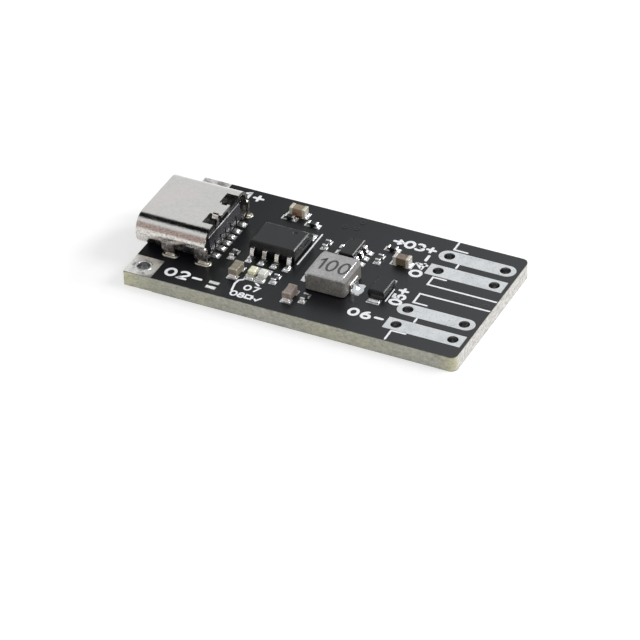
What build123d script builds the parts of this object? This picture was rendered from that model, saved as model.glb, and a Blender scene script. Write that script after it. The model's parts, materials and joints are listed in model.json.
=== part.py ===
from build123d import *
import math
import os

os.makedirs("parts", exist_ok=True)

# A lithium battery charger module: a small circuit board with a USB-C socket at one end,
# solder terminals at the other end and surface-mounted parts between them.
# Frame: origin at the centre of the board's underside, +X from the socket end to the
# terminal end, +Y to the back edge, +Z up. All sizes are in millimetres.

# Board
board_thickness = 1.6
corner_radius = 0.65
mask_thickness = 0.03
mask_gap = 0.05
plating = 0.035

# Terminal strips at the right end, in two pairs
terminal_pitch = 2.54
terminal_length = 7.7
terminal_width = 1.72
terminal_end_margin = 0.3
terminal_hole_radius = 0.525
terminal_hole_inset = 1.03
output_pair_y = 4.66
battery_pair_y = -4.52

# Square input pads in the two left corners
corner_pad = 2.83
corner_pad_gap = 0.72
corner_hole_radius = 0.615

# USB-C socket
shell_width = 8.94
shell_height = 3.26
shell_corner = 1.55
shell_wall = 0.3
shell_length = 7.2
shell_overhang = 0.7
shell_seam = 0.06
shell_edge_break = 0.06
front_leg_inset = 3.55
rear_leg_reach = 0.15
leg_width = 0.85
leg_root_width = 1.25
leg_taper_depth = 1.5
leg_board_end = 0.25
slot_length = 1.35
slot_width = 0.62
slot_land = 0.17
notch_length = 1.15
notch_inner_y = 0.95
notch_outer_y = 2.6
notch_tab_depth = 0.95
notch_tab_length = 0.6
notch_tab_inset = 0.3
notch_tab_lean = 25
notch_clearance = 0.05
rear_cut_length = 1.0
rear_cut_margin = 0.3
housing_clearance = 0.02
housing_length = 2.6
housing_rear_inset = 0.06
housing_ledge_height = 2.05
housing_ledge_depth = 0.22
housing_ledge_bevel = 0.06
housing_foot_height = 0.75
skirt_length = 0.85
skirt_rise = 0.45
rear_block_margin = 0.1
rear_block_depth = 0.55
comb_width = 0.2
comb_depth = 0.18
comb_rise = 0.5
collar_length = 0.75
collar_step = 0.3
tongue_corner = 0.5
tongue_margin = 0.345
tongue_thickness = 0.7
tongue_setback = 0.55
tongue_nose = 0.2
inner_contact_y = 0.5
middle_contact_y = 1.52
outer_contact_y = 2.75
contact_width = 0.5
contact_thickness = 0.15
contact_bend = 0.12
contact_foot_reach = 0.4
contact_riser_inset = 0.5
contact_tongue_setback = 0.4

# Eight-lead chip
charger_chip_gap = 2.935
charger_chip_y = 0.75
charger_chip_end_margin = 0.25
charger_chip_width = 3.9
charger_chip_height = 1.4
charger_chip_bevel = 0.5
charger_chip_bevel_drop = 0.35
charger_chip_lead_reach = 1.05
charger_chip_pitch = 1.27
charger_chip_lead_width = 0.42
charger_chip_lead_thickness = 0.2
charger_chip_foot = 0.65
charger_chip_dimple_radius = 0.25
charger_chip_dimple_x = 1.3
charger_chip_dimple_y = 1.15

# Six-lead chip
small_chip_offset = -0.3
small_chip_gap = 1.3
small_chip_end_margin = 0.3
small_chip_width = 1.6
small_chip_height = 1.0
small_chip_lead_reach = 0.6
small_chip_pitch = 0.95
small_chip_lead_width = 0.4
small_chip_lead_thickness = 0.15
small_chip_foot = 0.35
small_chip_dimple_radius = 0.14
small_chip_dimple_inset = 0.4

# Common to both chips
chip_standoff = 0.1
chip_draft = 11
lead_hold = 0.4
lead_bend_share = 0.8
dimple_depth = 0.08
dimple_taper = 40

# Inductor
inductor_gap = 2.385
inductor_y = -2.3
inductor_length = 4.1
inductor_width = 3.9
inductor_height = 1.85
inductor_standoff = 0.08
inductor_corner = 0.38
inductor_bevel = 0.4
inductor_bevel_drop = 0.3
inductor_edge_break = 0.1
inductor_tab_width = 1.7
inductor_tab_thickness = 0.15
inductor_tab_height = 0.9
inductor_tab_foot = 1.0
inductor_foot_round = 0.1
inductor_land_reach = 0.75

# Diode
diode_gap = 1.71
diode_y = -1.67
diode_length = 2.5
diode_width = 1.7
diode_height = 0.8
diode_standoff = 0.04
diode_lead_width = 1.1
diode_lead_thickness = 0.2
diode_lead_reach = 0.5
diode_land_reach = 0.35

# Chip capacitors, chip resistors and LEDs
capacitor_length = 1.62
capacitor_width = 0.86
capacitor_height = 0.86
resistor_length = 1.0
resistor_width = 0.5
resistor_height = 0.35
led_length = 1.6
led_width = 0.8
led_height = 0.55
capacitor_cap = 0.32
resistor_cap = 0.22
led_cap = 0.32
cap_skin = 0.025
cap_edge_break = 0.03
led_base_height = 0.22
led_lens_length = 1.0
led_lens_draft = 8
led_lens_round = 0.06

# Offsets of the small parts from the nearest main part or row, along X and along Y
input_capacitor_offset = (3.22, -0.5)
output_capacitor_offset = (-0.11, 4.75)
battery_capacitor_offset = (-2.73, 0)
chip_capacitor_offset = (-0.95, 0.97)
socket_resistor_offset = (1.7, -1.98)
indicator_resistor_offset = (1.68, -0.03)
sense_resistor_offset = (-1.35, 0.22)
bias_resistor_offset = (-1.45, 0.05)
timing_resistor_offset = (1.05, -0.15)
feedback_resistor_offset = (-2.88, 0.5)
divider_resistor_offset = (2.58, 0.4)
output_resistor_offset = (-1.86, 6.42)
charging_led_offset = (-0.6, 0)
charged_led_offset = (0.45, 0)

# Solder
land_reach = 0.3
land_inset = 0.12
solder_rise = 0.7
solder_hollow = 0.18
foot_solder = 0.2
foot_solder_rise = 0.75
foot_land_margin = 0.09
leg_solder_rise = 0.18
leg_solder_taper = 40

# Jumper lands near the front edge
jumper_gap = 2.08
jumper_inset = 1.27
jumper_length = 1.0
jumper_land_width = 0.4
jumper_spacing = 0.77

# Gaps along the board, and from one row of parts to the next
terminal_gap = 1.49
chip_row_gap = 0.9
inductor_row_gap = 0.74

# The board is as wide as the socket's slots and the corner pads beside them need, and as long as
# the row of main parts: socket, charger chip, inductor, diode and terminals
contact_offsets = (inner_contact_y, middle_contact_y, outer_contact_y)
contacts_width = 2 * outer_contact_y + contact_width
rear_cut_width = contacts_width + 2 * rear_cut_margin
tongue_width = contacts_width + 2 * tongue_margin
leg_y = shell_width / 2 - shell_wall / 2
slot_land_length = slot_length + 2 * slot_land
slot_land_width = slot_width + 2 * slot_land
charger_chip_length = 3 * charger_chip_pitch + charger_chip_lead_width + 2 * charger_chip_end_margin
charger_chip_span = charger_chip_width + 2 * charger_chip_lead_reach
small_chip_length = 2 * small_chip_pitch + small_chip_lead_width + 2 * small_chip_end_margin
small_chip_span = small_chip_width + 2 * small_chip_lead_reach
board_width = 2 * (leg_y + slot_land_width / 2 + corner_pad_gap + corner_pad)
board_length = (
    shell_length - shell_overhang
    + charger_chip_gap + charger_chip_length
    + inductor_gap + inductor_length
    + diode_gap + diode_width
    + terminal_gap + terminal_length + terminal_end_margin + mask_gap
)
board_left = -board_length / 2
board_right = board_length / 2
board_front = -board_width / 2
board_back = board_width / 2
mouth_x = board_left - shell_overhang
rear_x = mouth_x + shell_length
charger_chip_x = rear_x + charger_chip_gap + charger_chip_length / 2
inductor_x = charger_chip_x + charger_chip_length / 2 + inductor_gap + inductor_length / 2
inductor_front = inductor_y - inductor_width / 2
inductor_back = inductor_y + inductor_width / 2
diode_x = inductor_x + inductor_length / 2 + diode_gap + diode_width / 2
small_chip_x = inductor_x + small_chip_offset
small_chip_y = inductor_back + small_chip_gap + small_chip_length / 2

# Sizes of the small parts: length, width, height
capacitor_size = (capacitor_length, capacitor_width, capacitor_height)
resistor_size = (resistor_length, resistor_width, resistor_height)
led_size = (led_length, led_width, led_height)

# Rows that the small parts lie in
chip_front_row = charger_chip_y - charger_chip_span / 2 - chip_row_gap - led_length / 2
chip_back_row = charger_chip_y + charger_chip_span / 2 + chip_row_gap + led_length / 2
inductor_row = inductor_front - inductor_row_gap - capacitor_length / 2


def beside(x, y, offset, turned=False):
    """A small part's place at that offset from a point, and whether the part lies along Y."""
    return (x + offset[0], y + offset[1], turned)


capacitor_places = {
    "input_capacitor": beside(rear_x, chip_front_row, input_capacitor_offset, True),
    "output_capacitor": beside(diode_x, diode_y, output_capacitor_offset),
    "battery_capacitor": beside(inductor_x, inductor_row, battery_capacitor_offset, True),
    "chip_capacitor": beside(charger_chip_x, chip_back_row, chip_capacitor_offset),
}
resistor_places = {
    "socket_resistor": beside(rear_x, 0, socket_resistor_offset, True),
    "indicator_resistor": beside(charger_chip_x, chip_front_row, indicator_resistor_offset, True),
    "sense_resistor": beside(inductor_x, inductor_row, sense_resistor_offset, True),
    "bias_resistor": beside(charger_chip_x, chip_back_row, bias_resistor_offset),
    "timing_resistor": beside(charger_chip_x, chip_back_row, timing_resistor_offset),
    "feedback_resistor": beside(small_chip_x, small_chip_y, feedback_resistor_offset, True),
    "divider_resistor": beside(small_chip_x, small_chip_y, divider_resistor_offset, True),
    "output_resistor": beside(diode_x, diode_y, output_resistor_offset),
}
led_places = {
    "charging_led": beside(charger_chip_x, chip_front_row, charging_led_offset, True),
    "charged_led": beside(charger_chip_x, chip_front_row, charged_led_offset, True),
}
jumper_x = rear_x + jumper_gap
jumper_y = board_front + jumper_inset

# Worked out from the sizes above
core_bottom = mask_thickness
core_top = board_thickness - mask_thickness
top_face = Plane.XY.offset(board_thickness)
core_face = Plane.XY.offset(core_top)
terminal_x = board_right - terminal_end_margin - terminal_length / 2 - mask_gap
terminal_places = {
    "output_plus_terminal": (output_pair_y + terminal_pitch / 2, True),
    "output_ground_terminal": (output_pair_y - terminal_pitch / 2, False),
    "battery_plus_terminal": (battery_pair_y + terminal_pitch / 2, True),
    "battery_ground_terminal": (battery_pair_y - terminal_pitch / 2, False),
}
corner_pad_x = board_left + corner_pad / 2
corner_pad_y = board_back - corner_pad / 2
corner_pad_places = {
    "input_plus_pad": corner_pad_y,
    "input_ground_pad": -corner_pad_y,
}
shell_middle = board_thickness + shell_height / 2
shell_top = board_thickness + shell_height
shell_cut_depth = 1.5 * shell_wall
front_leg_x = mouth_x + front_leg_inset
rear_leg_x = rear_x + rear_leg_reach - leg_width / 2
leg_places = [(x, y) for x in (front_leg_x, rear_leg_x) for y in (-leg_y, leg_y)]
tongue_tip_x = mouth_x + tongue_setback
between_contacts = [(a + b) / 2 for a, b in zip(contact_offsets, contact_offsets[1:])]
comb_places = [0] + [side * y for y in between_contacts for side in (-1, 1)]
housing_front_x = rear_x - housing_length
rear_block_half = contacts_width / 2 + rear_block_margin
tab_root_y = notch_inner_y - 2 * shell_wall
tab_bend_y = notch_inner_y - shell_wall / 2
tab_tip_y = tab_bend_y + notch_tab_depth * math.tan(math.radians(notch_tab_lean))
tab_outer_y = tab_tip_y + shell_wall / 2 + notch_clearance
recess_length = notch_tab_length + notch_tab_inset + notch_clearance
tab_front_x = rear_x - notch_tab_inset - notch_tab_length
contact_riser_x = rear_x - contact_riser_inset
contact_tip_x = rear_x + contact_foot_reach
contact_land_start = rear_x - rear_cut_length / 2
contact_land_end = contact_tip_x + foot_solder + foot_land_margin


def save(piece, name):
    piece.part.label = name
    export_step(piece.part, f"parts/{name}.step")


def seat_at(x, y, turned, height=board_thickness):
    """The plane that a part lies on, with its own length along X, or along Y if turned."""
    direction = (0, 1, 0) if turned else (1, 0, 0)
    return Plane(origin=(x, y, height), x_dir=direction, z_dir=(0, 0, 1))


def end_lands(seat, size, cap):
    """Places and sizes of the two lands of a chip part, in its seat."""
    length = land_reach + cap + land_inset
    middle = size[0] / 2 + land_reach - length / 2
    width = size[1] + 2 * foot_land_margin
    return [(seat, side * middle, 0, length, width) for side in (-1, 1)]


# Every land on the top side: seat, place in the seat, length and width
charger_chip_seat = seat_at(charger_chip_x, charger_chip_y, False)
small_chip_seat = seat_at(small_chip_x, small_chip_y, True)
inductor_seat = seat_at(inductor_x, inductor_y, False)
diode_seat = seat_at(diode_x, diode_y, True)
socket_seat = seat_at(0, 0, False)


def lead_rows(count, pitch):
    """Places of one row of leads along a chip."""
    return [(i - (count - 1) / 2) * pitch for i in range(count)]


def chip_lands(seat, count, pitch, span, foot, width):
    length = foot + foot_solder + 2 * foot_land_margin
    middle = span / 2 + foot_solder + foot_land_margin - length / 2
    return [
        (seat, along, side * middle, width + 2 * foot_land_margin, length)
        for along in lead_rows(count, pitch)
        for side in (-1, 1)
    ]


lands = chip_lands(
    charger_chip_seat,
    4,
    charger_chip_pitch,
    charger_chip_span,
    charger_chip_foot,
    charger_chip_lead_width,
)
lands += chip_lands(
    small_chip_seat,
    3,
    small_chip_pitch,
    small_chip_span,
    small_chip_foot,
    small_chip_lead_width,
)
inductor_land_length = inductor_tab_foot + inductor_land_reach
inductor_land_middle = (
    inductor_length / 2 + inductor_tab_thickness + inductor_land_reach - inductor_land_length / 2
)
lands += [
    (inductor_seat, side * inductor_land_middle, 0, inductor_land_length, inductor_tab_width)
    for side in (-1, 1)
]
diode_tip = diode_length / 2 + diode_lead_reach
diode_land_length = diode_lead_reach + 2 * diode_land_reach
diode_land_middle = diode_tip + diode_land_reach - diode_land_length / 2
lands += [
    (diode_seat, side * diode_land_middle, 0, diode_land_length, diode_lead_width + 2 * foot_land_margin)
    for side in (-1, 1)
]
for places, size, cap in (
    (capacitor_places, capacitor_size, capacitor_cap),
    (resistor_places, resistor_size, resistor_cap),
    (led_places, led_size, led_cap),
):
    for x, y, turned in places.values():
        lands += end_lands(seat_at(x, y, turned), size, cap)
lands += [
    (
        socket_seat,
        (contact_land_start + contact_land_end) / 2,
        side * offset,
        contact_land_end - contact_land_start,
        contact_width + 2 * foot_land_margin,
    )
    for offset in contact_offsets
    for side in (-1, 1)
]
jumper_lands = [
    (socket_seat, jumper_x, jumper_y + side * jumper_spacing / 2, jumper_length, jumper_land_width)
    for side in (-1, 1)
]

# Substrate


def terminal_outline(y, oval, gap):
    """The outline of a terminal strip, widened by gap all round."""
    with Locations((terminal_x, y)):
        if oval:
            SlotOverall(terminal_length + 2 * gap, terminal_width + 2 * gap)
        else:
            Rectangle(terminal_length + 2 * gap, terminal_width + 2 * gap)


def terminal_hole_places(y):
    reach = terminal_length / 2 - terminal_hole_inset
    return [(terminal_x + side * reach, y) for side in (-1, 1)]


def board_outline():
    """The board's outline, with its two terminal-end corners rounded."""
    Rectangle(board_length, board_width)
    right_corners = vertices().group_by(Axis.X)[-1]
    fillet(right_corners, corner_radius)


def drilled_holes():
    """Every hole through the substrate, as drilled before plating."""
    for y, _ in terminal_places.values():
        with Locations(*terminal_hole_places(y)):
            Circle(terminal_hole_radius + plating, mode=Mode.SUBTRACT)
    for y in corner_pad_places.values():
        with Locations((corner_pad_x, y)):
            Circle(corner_hole_radius + plating, mode=Mode.SUBTRACT)
    with Locations(*leg_places):
        SlotOverall(slot_length + 2 * plating, slot_width + 2 * plating, mode=Mode.SUBTRACT)


with BuildPart() as substrate:
    with BuildSketch(Plane.XY.offset(core_bottom)):
        board_outline()
        drilled_holes()
    extrude(amount=core_top - core_bottom)
save(substrate, "substrate")

# Solder masks


def mask_openings():
    """The openings that both masks have, over terminals, corner pads and leg slots."""
    for y, oval in terminal_places.values():
        with BuildSketch(mode=Mode.PRIVATE) as opening:
            terminal_outline(y, oval, mask_gap)
        add(opening.sketch, mode=Mode.SUBTRACT)
    opening_size = corner_pad + mask_gap
    for y in corner_pad_places.values():
        edge = board_back if y > 0 else board_front
        middle_y = edge - (opening_size / 2 if y > 0 else -opening_size / 2)
        with Locations((board_left + opening_size / 2, middle_y)):
            Rectangle(opening_size, opening_size, mode=Mode.SUBTRACT)
    with Locations(*leg_places):
        SlotOverall(
            slot_land_length + 2 * mask_gap, slot_land_width + 2 * mask_gap, mode=Mode.SUBTRACT
        )


def land_rectangles(rectangles, gap, mode):
    """Rectangles over a list of lands, widened by gap all round, one group for each size."""
    groups = {}
    for seat, x, y, length, width in rectangles:
        centre = seat.from_local_coords((x, y, 0))
        turn = 90 if abs(seat.x_dir.Y) > abs(seat.x_dir.X) else 0
        groups.setdefault((length, width, turn), []).append((centre.X, centre.Y))
    for (length, width, turn), centres in groups.items():
        with Locations(*centres):
            Rectangle(length + 2 * gap, width + 2 * gap, rotation=turn, mode=mode)


with BuildPart() as bottom_solder_mask:
    with BuildSketch(Plane.XY):
        board_outline()
        mask_openings()
    extrude(amount=mask_thickness)
save(bottom_solder_mask, "bottom_solder_mask")

with BuildPart() as top_solder_mask:
    with BuildSketch(core_face):
        board_outline()
        mask_openings()
        land_rectangles(lands + jumper_lands, mask_gap, Mode.SUBTRACT)
    extrude(amount=mask_thickness)
save(top_solder_mask, "top_solder_mask")

# Terminal strips: a tinned strip on each side of the board, joined by two plated holes


def terminal(y, oval):
    holes = terminal_hole_places(y)
    with BuildPart() as strip:
        for height in (0, core_top):
            with BuildSketch(Plane.XY.offset(height)):
                terminal_outline(y, oval, 0)
            extrude(amount=mask_thickness)
        with BuildSketch(Plane.XY):
            with Locations(*holes):
                Circle(terminal_hole_radius + plating)
        extrude(amount=board_thickness)
        with BuildSketch(Plane.XY):
            with Locations(*holes):
                Circle(terminal_hole_radius)
        extrude(amount=board_thickness, mode=Mode.SUBTRACT)
    return strip


for name, (y, oval) in terminal_places.items():
    save(terminal(y, oval), name)

# Corner pads


def corner_terminal(y):
    with BuildPart() as pad:
        for height in (0, core_top):
            with BuildSketch(Plane.XY.offset(height)):
                with Locations((corner_pad_x, y)):
                    Rectangle(corner_pad, corner_pad)
            extrude(amount=mask_thickness)
        with BuildSketch(Plane.XY):
            with Locations((corner_pad_x, y)):
                Circle(corner_hole_radius + plating)
        extrude(amount=board_thickness)
        with BuildSketch(Plane.XY):
            with Locations((corner_pad_x, y)):
                Circle(corner_hole_radius)
        extrude(amount=board_thickness, mode=Mode.SUBTRACT)
    return pad


for name, y in corner_pad_places.items():
    save(corner_terminal(y), name)

# Plated slots for the socket's legs

with BuildPart() as leg_slots:
    for height in (0, core_top):
        with BuildSketch(Plane.XY.offset(height)):
            with Locations(*leg_places):
                SlotOverall(slot_land_length, slot_land_width)
        extrude(amount=mask_thickness)
    with BuildSketch(Plane.XY):
        with Locations(*leg_places):
            SlotOverall(slot_length + 2 * plating, slot_width + 2 * plating)
    extrude(amount=board_thickness)
    with BuildSketch(Plane.XY):
        with Locations(*leg_places):
            SlotOverall(slot_length, slot_width)
    extrude(amount=board_thickness, mode=Mode.SUBTRACT)
save(leg_slots, "leg_slots")

# Lands under the components, and the jumper lands

with BuildPart() as component_lands:
    with BuildSketch(core_face):
        land_rectangles(lands, 0, Mode.ADD)
    extrude(amount=mask_thickness)
save(component_lands, "component_lands")

with BuildPart() as jumper:
    with BuildSketch(core_face):
        land_rectangles(jumper_lands, 0, Mode.ADD)
    extrude(amount=mask_thickness)
save(jumper, "jumper_lands")

# Socket contacts: each has a foot on the board, a riser in the housing and a blade in the tongue


def contact_profile(on_top):
    """The bent strip of one contact, seen from the front: on_top puts its blade on the tongue's top."""
    half = contact_thickness / 2
    foot_z = board_thickness + half
    level = tongue_thickness / 2 - half
    blade_z = shell_middle + (level if on_top else -level)
    FilletPolyline(
        (contact_tip_x, foot_z),
        (contact_riser_x, foot_z),
        (contact_riser_x, blade_z),
        (tongue_tip_x + contact_tongue_setback, blade_z),
        radius=contact_bend,
    )


with BuildPart() as usb_contacts:
    for index, offset in enumerate(contact_offsets):
        for side in (-1, 1):
            on_top = (side > 0) == (index > 0)
            with BuildSketch(Plane.XZ.offset(-side * offset)):
                with BuildLine():
                    contact_profile(on_top)
                trace(line_width=contact_thickness)
            extrude(amount=contact_width / 2, both=True)
save(usb_contacts, "usb_contacts")

# Socket shell: a folded steel tube with a seam underneath, four legs and a notched rear edge


def socket_outline(shrink, mode=Mode.ADD):
    """The socket's cross-section, drawn inside the shell's outer surface by shrink."""
    RectangleRounded(
        shell_width - 2 * shrink,
        shell_height - 2 * shrink,
        shell_corner - shrink,
        mode=mode,
    )


socket_section = Plane(origin=(mouth_x, 0, shell_middle), x_dir=(0, 1, 0), z_dir=(1, 0, 0))
shell_floor = Plane.XY.offset(board_thickness)


def leg_outline(x):
    """One leg, seen from the side: wide at its root, narrow in the board."""
    root_z = shell_middle
    neck_z = root_z - leg_taper_depth
    rear = x + leg_width / 2
    front = x - leg_width / 2
    extra = leg_root_width - leg_width
    Polyline(
        (rear, leg_board_end),
        (rear, root_z),
        (front - extra, root_z),
        (front - extra, neck_z + extra),
        (front, neck_z),
        (front, leg_board_end),
        close=True,
    )


with BuildPart() as usb_shell:
    with BuildSketch(socket_section):
        socket_outline(0)
        socket_outline(shell_wall, Mode.SUBTRACT)
    extrude(amount=shell_length)
    mouth_edges = edges().group_by(Axis.X)[0]
    fillet(mouth_edges, shell_edge_break)
    # the seam along the bottom
    with BuildSketch(shell_floor):
        with Locations(((mouth_x + rear_x) / 2, 0)):
            Rectangle(shell_length, shell_seam)
    extrude(amount=shell_cut_depth, mode=Mode.SUBTRACT)
    # the bottom is open at the rear, where the contacts come out
    with BuildSketch(shell_floor):
        with Locations((rear_x - rear_cut_length / 2, 0)):
            Rectangle(rear_cut_length, rear_cut_width)
    extrude(amount=shell_cut_depth, mode=Mode.SUBTRACT)
    # two notches in the rear edge of the top
    with BuildSketch(Plane.XY.offset(shell_top)):
        for side in (-1, 1):
            with Locations((rear_x - notch_length / 2, side * (notch_inner_y + notch_outer_y) / 2)):
                Rectangle(notch_length, notch_outer_y - notch_inner_y)
    extrude(amount=-shell_cut_depth, mode=Mode.SUBTRACT)
    # a tab bent down and outwards beside each notch
    with BuildSketch(Plane.XY.offset(shell_top)):
        for side in (-1, 1):
            with Locations((tab_front_x + notch_tab_length / 2, side * (tab_root_y + notch_inner_y) / 2)):
                Rectangle(notch_tab_length, notch_inner_y - tab_root_y)
    extrude(amount=-shell_cut_depth, mode=Mode.SUBTRACT)
    with BuildSketch(Plane(origin=(tab_front_x, 0, 0), x_dir=(0, 1, 0), z_dir=(1, 0, 0))):
        for side in (-1, 1):
            with BuildLine():
                FilletPolyline(
                    (side * (tab_root_y - shell_wall), shell_top - shell_wall / 2),
                    (side * tab_bend_y, shell_top - shell_wall / 2),
                    (side * tab_tip_y, shell_top - shell_wall / 2 - notch_tab_depth),
                    radius=shell_wall,
                )
            trace(line_width=shell_wall)
    extrude(amount=notch_tab_length)
    # legs down through the board
    for x, y in leg_places:
        with BuildSketch(Plane.XZ.offset(-y)):
            with BuildLine():
                leg_outline(x)
            make_face()
        extrude(amount=shell_wall / 2, both=True)
save(usb_shell, "usb_shell")

# Socket housing: a moulded block that fills the rear of the shell, with the tongue in front


def housing_rear_profile():
    """The block seen from the side: its rear face steps in at a ledge under the shell's top."""
    ledge_z = board_thickness + housing_ledge_height
    ledge_x = rear_x - housing_ledge_depth
    Polyline(
        (housing_front_x, board_thickness),
        (rear_x - housing_rear_inset, board_thickness),
        (rear_x - housing_rear_inset, board_thickness + housing_foot_height),
        (ledge_x, ledge_z - housing_ledge_bevel),
        (ledge_x - housing_ledge_bevel, ledge_z),
        (ledge_x - housing_ledge_depth, ledge_z),
        (ledge_x - housing_ledge_depth, shell_top),
        (housing_front_x, shell_top),
        close=True,
    )


with BuildPart() as usb_housing:
    with BuildSketch(Plane.XZ):
        with BuildLine():
            housing_rear_profile()
        make_face()
    extrude(amount=shell_width / 2, both=True)
    with BuildSketch(socket_section.offset(housing_front_x - mouth_x)):
        socket_outline(shell_wall + housing_clearance)
    extrude(amount=housing_length, mode=Mode.INTERSECT)
    # a skirt between the contact feet, down to the board
    with BuildSketch(Plane.XY.offset(board_thickness + housing_clearance)):
        with Locations((rear_x - housing_rear_inset - skirt_length / 2, 0)):
            Rectangle(skirt_length, 2 * rear_block_half)
    extrude(amount=skirt_rise)
    with BuildSketch(Plane.XY.offset(board_thickness)):
        for offset in contact_offsets:
            with Locations(
                (rear_x - housing_rear_inset - skirt_length / 2, offset),
                (rear_x - housing_rear_inset - skirt_length / 2, -offset),
            ):
                Rectangle(skirt_length, contact_width + 2 * foot_land_margin)
    extrude(amount=shell_wall + housing_clearance, mode=Mode.SUBTRACT)
    # both sides of the rear face step in
    with BuildSketch(Plane.XY.offset(board_thickness)):
        for side in (-1, 1):
            with Locations((rear_x, side * (rear_block_half + shell_width) / 2)):
                Rectangle(2 * rear_block_depth, shell_width - rear_block_half)
    extrude(amount=shell_height, mode=Mode.SUBTRACT)
    # comb grooves in the rear face
    with BuildSketch(Plane.XY.offset(board_thickness)):
        with Locations(*[(rear_x - housing_rear_inset, y) for y in comb_places]):
            Rectangle(2 * comb_depth, comb_width)
    extrude(amount=housing_foot_height + comb_rise, mode=Mode.SUBTRACT)
    # the tongue and the collar at its root
    with BuildSketch(Plane.XY.offset(shell_middle)):
        with Locations(((tongue_tip_x + housing_front_x) / 2, 0)):
            Rectangle(housing_front_x - tongue_tip_x, tongue_width)
    extrude(amount=tongue_thickness / 2, both=True)
    tip_edges = edges().filter_by(Axis.Z).group_by(Axis.X)[0]
    fillet(tip_edges, tongue_corner)
    nose_edges = faces().sort_by(Axis.X)[0].edges().filter_by(Axis.Y)
    chamfer(nose_edges, tongue_nose)
    with BuildSketch(Plane.XY.offset(shell_middle)):
        with Locations((housing_front_x - collar_length / 2, 0)):
            Rectangle(collar_length, tongue_width + 2 * collar_step)
    extrude(amount=tongue_thickness / 2 + collar_step, both=True)
    # a recess for the two tabs of the shell, and grooves for the contacts
    with BuildSketch(Plane.XY.offset(shell_top)):
        with Locations((rear_x, 0)):
            Rectangle(2 * recess_length, 2 * tab_outer_y)
    extrude(amount=-(shell_wall + notch_tab_depth + notch_clearance), mode=Mode.SUBTRACT)
    add(usb_contacts.part, mode=Mode.SUBTRACT)
save(usb_housing, "usb_housing")

# Leaded chips: a moulded body with drafted sides and a parting line, and bent leads


def lead_plane(seat, along, side):
    """The vertical plane of one lead: its x points away from the body and its y points up."""
    return Plane(
        origin=seat.from_local_coords((along, 0, 0)),
        x_dir=seat.y_dir * side,
        z_dir=seat.x_dir * side,
    )


def end_plane(seat, side):
    """The vertical plane along a part: its x points out of one end and its y points up."""
    return Plane(origin=seat.origin, x_dir=seat.x_dir * side, z_dir=seat.y_dir * -side)


def gull_leads(seat, count, pitch, body_width, exit_height, span, foot, width, thickness, bend):
    with BuildPart() as leads:
        for along in lead_rows(count, pitch):
            for side in (-1, 1):
                with BuildSketch(lead_plane(seat, along, side)):
                    with BuildLine():
                        FilletPolyline(
                            (body_width / 2 - lead_hold, exit_height),
                            (body_width / 2 + thickness, exit_height),
                            (span / 2 - foot, thickness / 2),
                            (span / 2, thickness / 2),
                            radius=bend,
                        )
                    trace(line_width=thickness)
        extrude(amount=width / 2, both=True)
    return leads


def moulded_body(seat, length, width, height, standoff, leads):
    """A moulded body whose sides taper up and down from a parting line, cut round its leads."""
    with BuildPart() as body:
        for direction in (1, -1):
            with BuildSketch(seat.offset(standoff + height / 2)):
                Rectangle(length, width)
            extrude(amount=direction * height / 2, taper=chip_draft)
        add(leads.part, mode=Mode.SUBTRACT)
    return body


def with_bevel(body, width, drop):
    """The long bevel along the back of a body's top."""
    with BuildPart() as bevelled:
        add(body.part)
        back_edge = faces().sort_by(Axis.Z)[-1].edges().sort_by(Axis.Y)[-1]
        chamfer(back_edge, drop, width, reference=faces().sort_by(Axis.Y)[-1])
    return bevelled


def with_dimple(body, seat, x, y, height, radius):
    """The round mark beside lead one, sunk into the top of a chip's body."""
    with BuildPart() as marked:
        add(body.part)
        with BuildSketch(seat.offset(height)):
            with Locations((x, y)):
                Circle(radius)
        extrude(amount=-dimple_depth, taper=dimple_taper, mode=Mode.SUBTRACT)
    return marked


charger_chip_leads = gull_leads(
    charger_chip_seat,
    4,
    charger_chip_pitch,
    charger_chip_width,
    chip_standoff + charger_chip_height / 2,
    charger_chip_span,
    charger_chip_foot,
    charger_chip_lead_width,
    charger_chip_lead_thickness,
    charger_chip_lead_thickness * lead_bend_share,
)
charger_chip_body = moulded_body(
    charger_chip_seat,
    charger_chip_length,
    charger_chip_width,
    charger_chip_height,
    chip_standoff,
    charger_chip_leads,
)
charger_chip_body = with_dimple(
    with_bevel(charger_chip_body, charger_chip_bevel, charger_chip_bevel_drop),
    charger_chip_seat,
    charger_chip_length / 2 - charger_chip_dimple_x,
    charger_chip_width / 2 - charger_chip_dimple_y,
    chip_standoff + charger_chip_height,
    charger_chip_dimple_radius,
)
save(charger_chip_leads, "charger_chip_leads")
save(charger_chip_body, "charger_chip_body")

small_chip_leads = gull_leads(
    small_chip_seat,
    3,
    small_chip_pitch,
    small_chip_width,
    chip_standoff + small_chip_height / 2,
    small_chip_span,
    small_chip_foot,
    small_chip_lead_width,
    small_chip_lead_thickness,
    small_chip_lead_thickness * lead_bend_share,
)
small_chip_body = with_dimple(
    moulded_body(
        small_chip_seat,
        small_chip_length,
        small_chip_width,
        small_chip_height,
        chip_standoff,
        small_chip_leads,
    ),
    small_chip_seat,
    small_chip_length / 2 - small_chip_dimple_inset,
    small_chip_width / 2 - small_chip_dimple_inset,
    chip_standoff + small_chip_height,
    small_chip_dimple_radius,
)
save(small_chip_leads, "small_chip_leads")
save(small_chip_body, "small_chip_body")

# Diode: flat leads that run out under a moulded body

with BuildPart() as diode_leads:
    for side in (-1, 1):
        with BuildSketch(end_plane(diode_seat, side)):
            with Locations((diode_tip - (lead_hold + diode_lead_reach) / 2, diode_lead_thickness / 2)):
                Rectangle(lead_hold + diode_lead_reach, diode_lead_thickness)
    extrude(amount=diode_lead_width / 2, both=True)
save(diode_leads, "diode_leads")
diode_body = moulded_body(
    diode_seat, diode_length, diode_width, diode_height, diode_standoff, diode_leads
)
save(diode_body, "diode_body")

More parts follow.
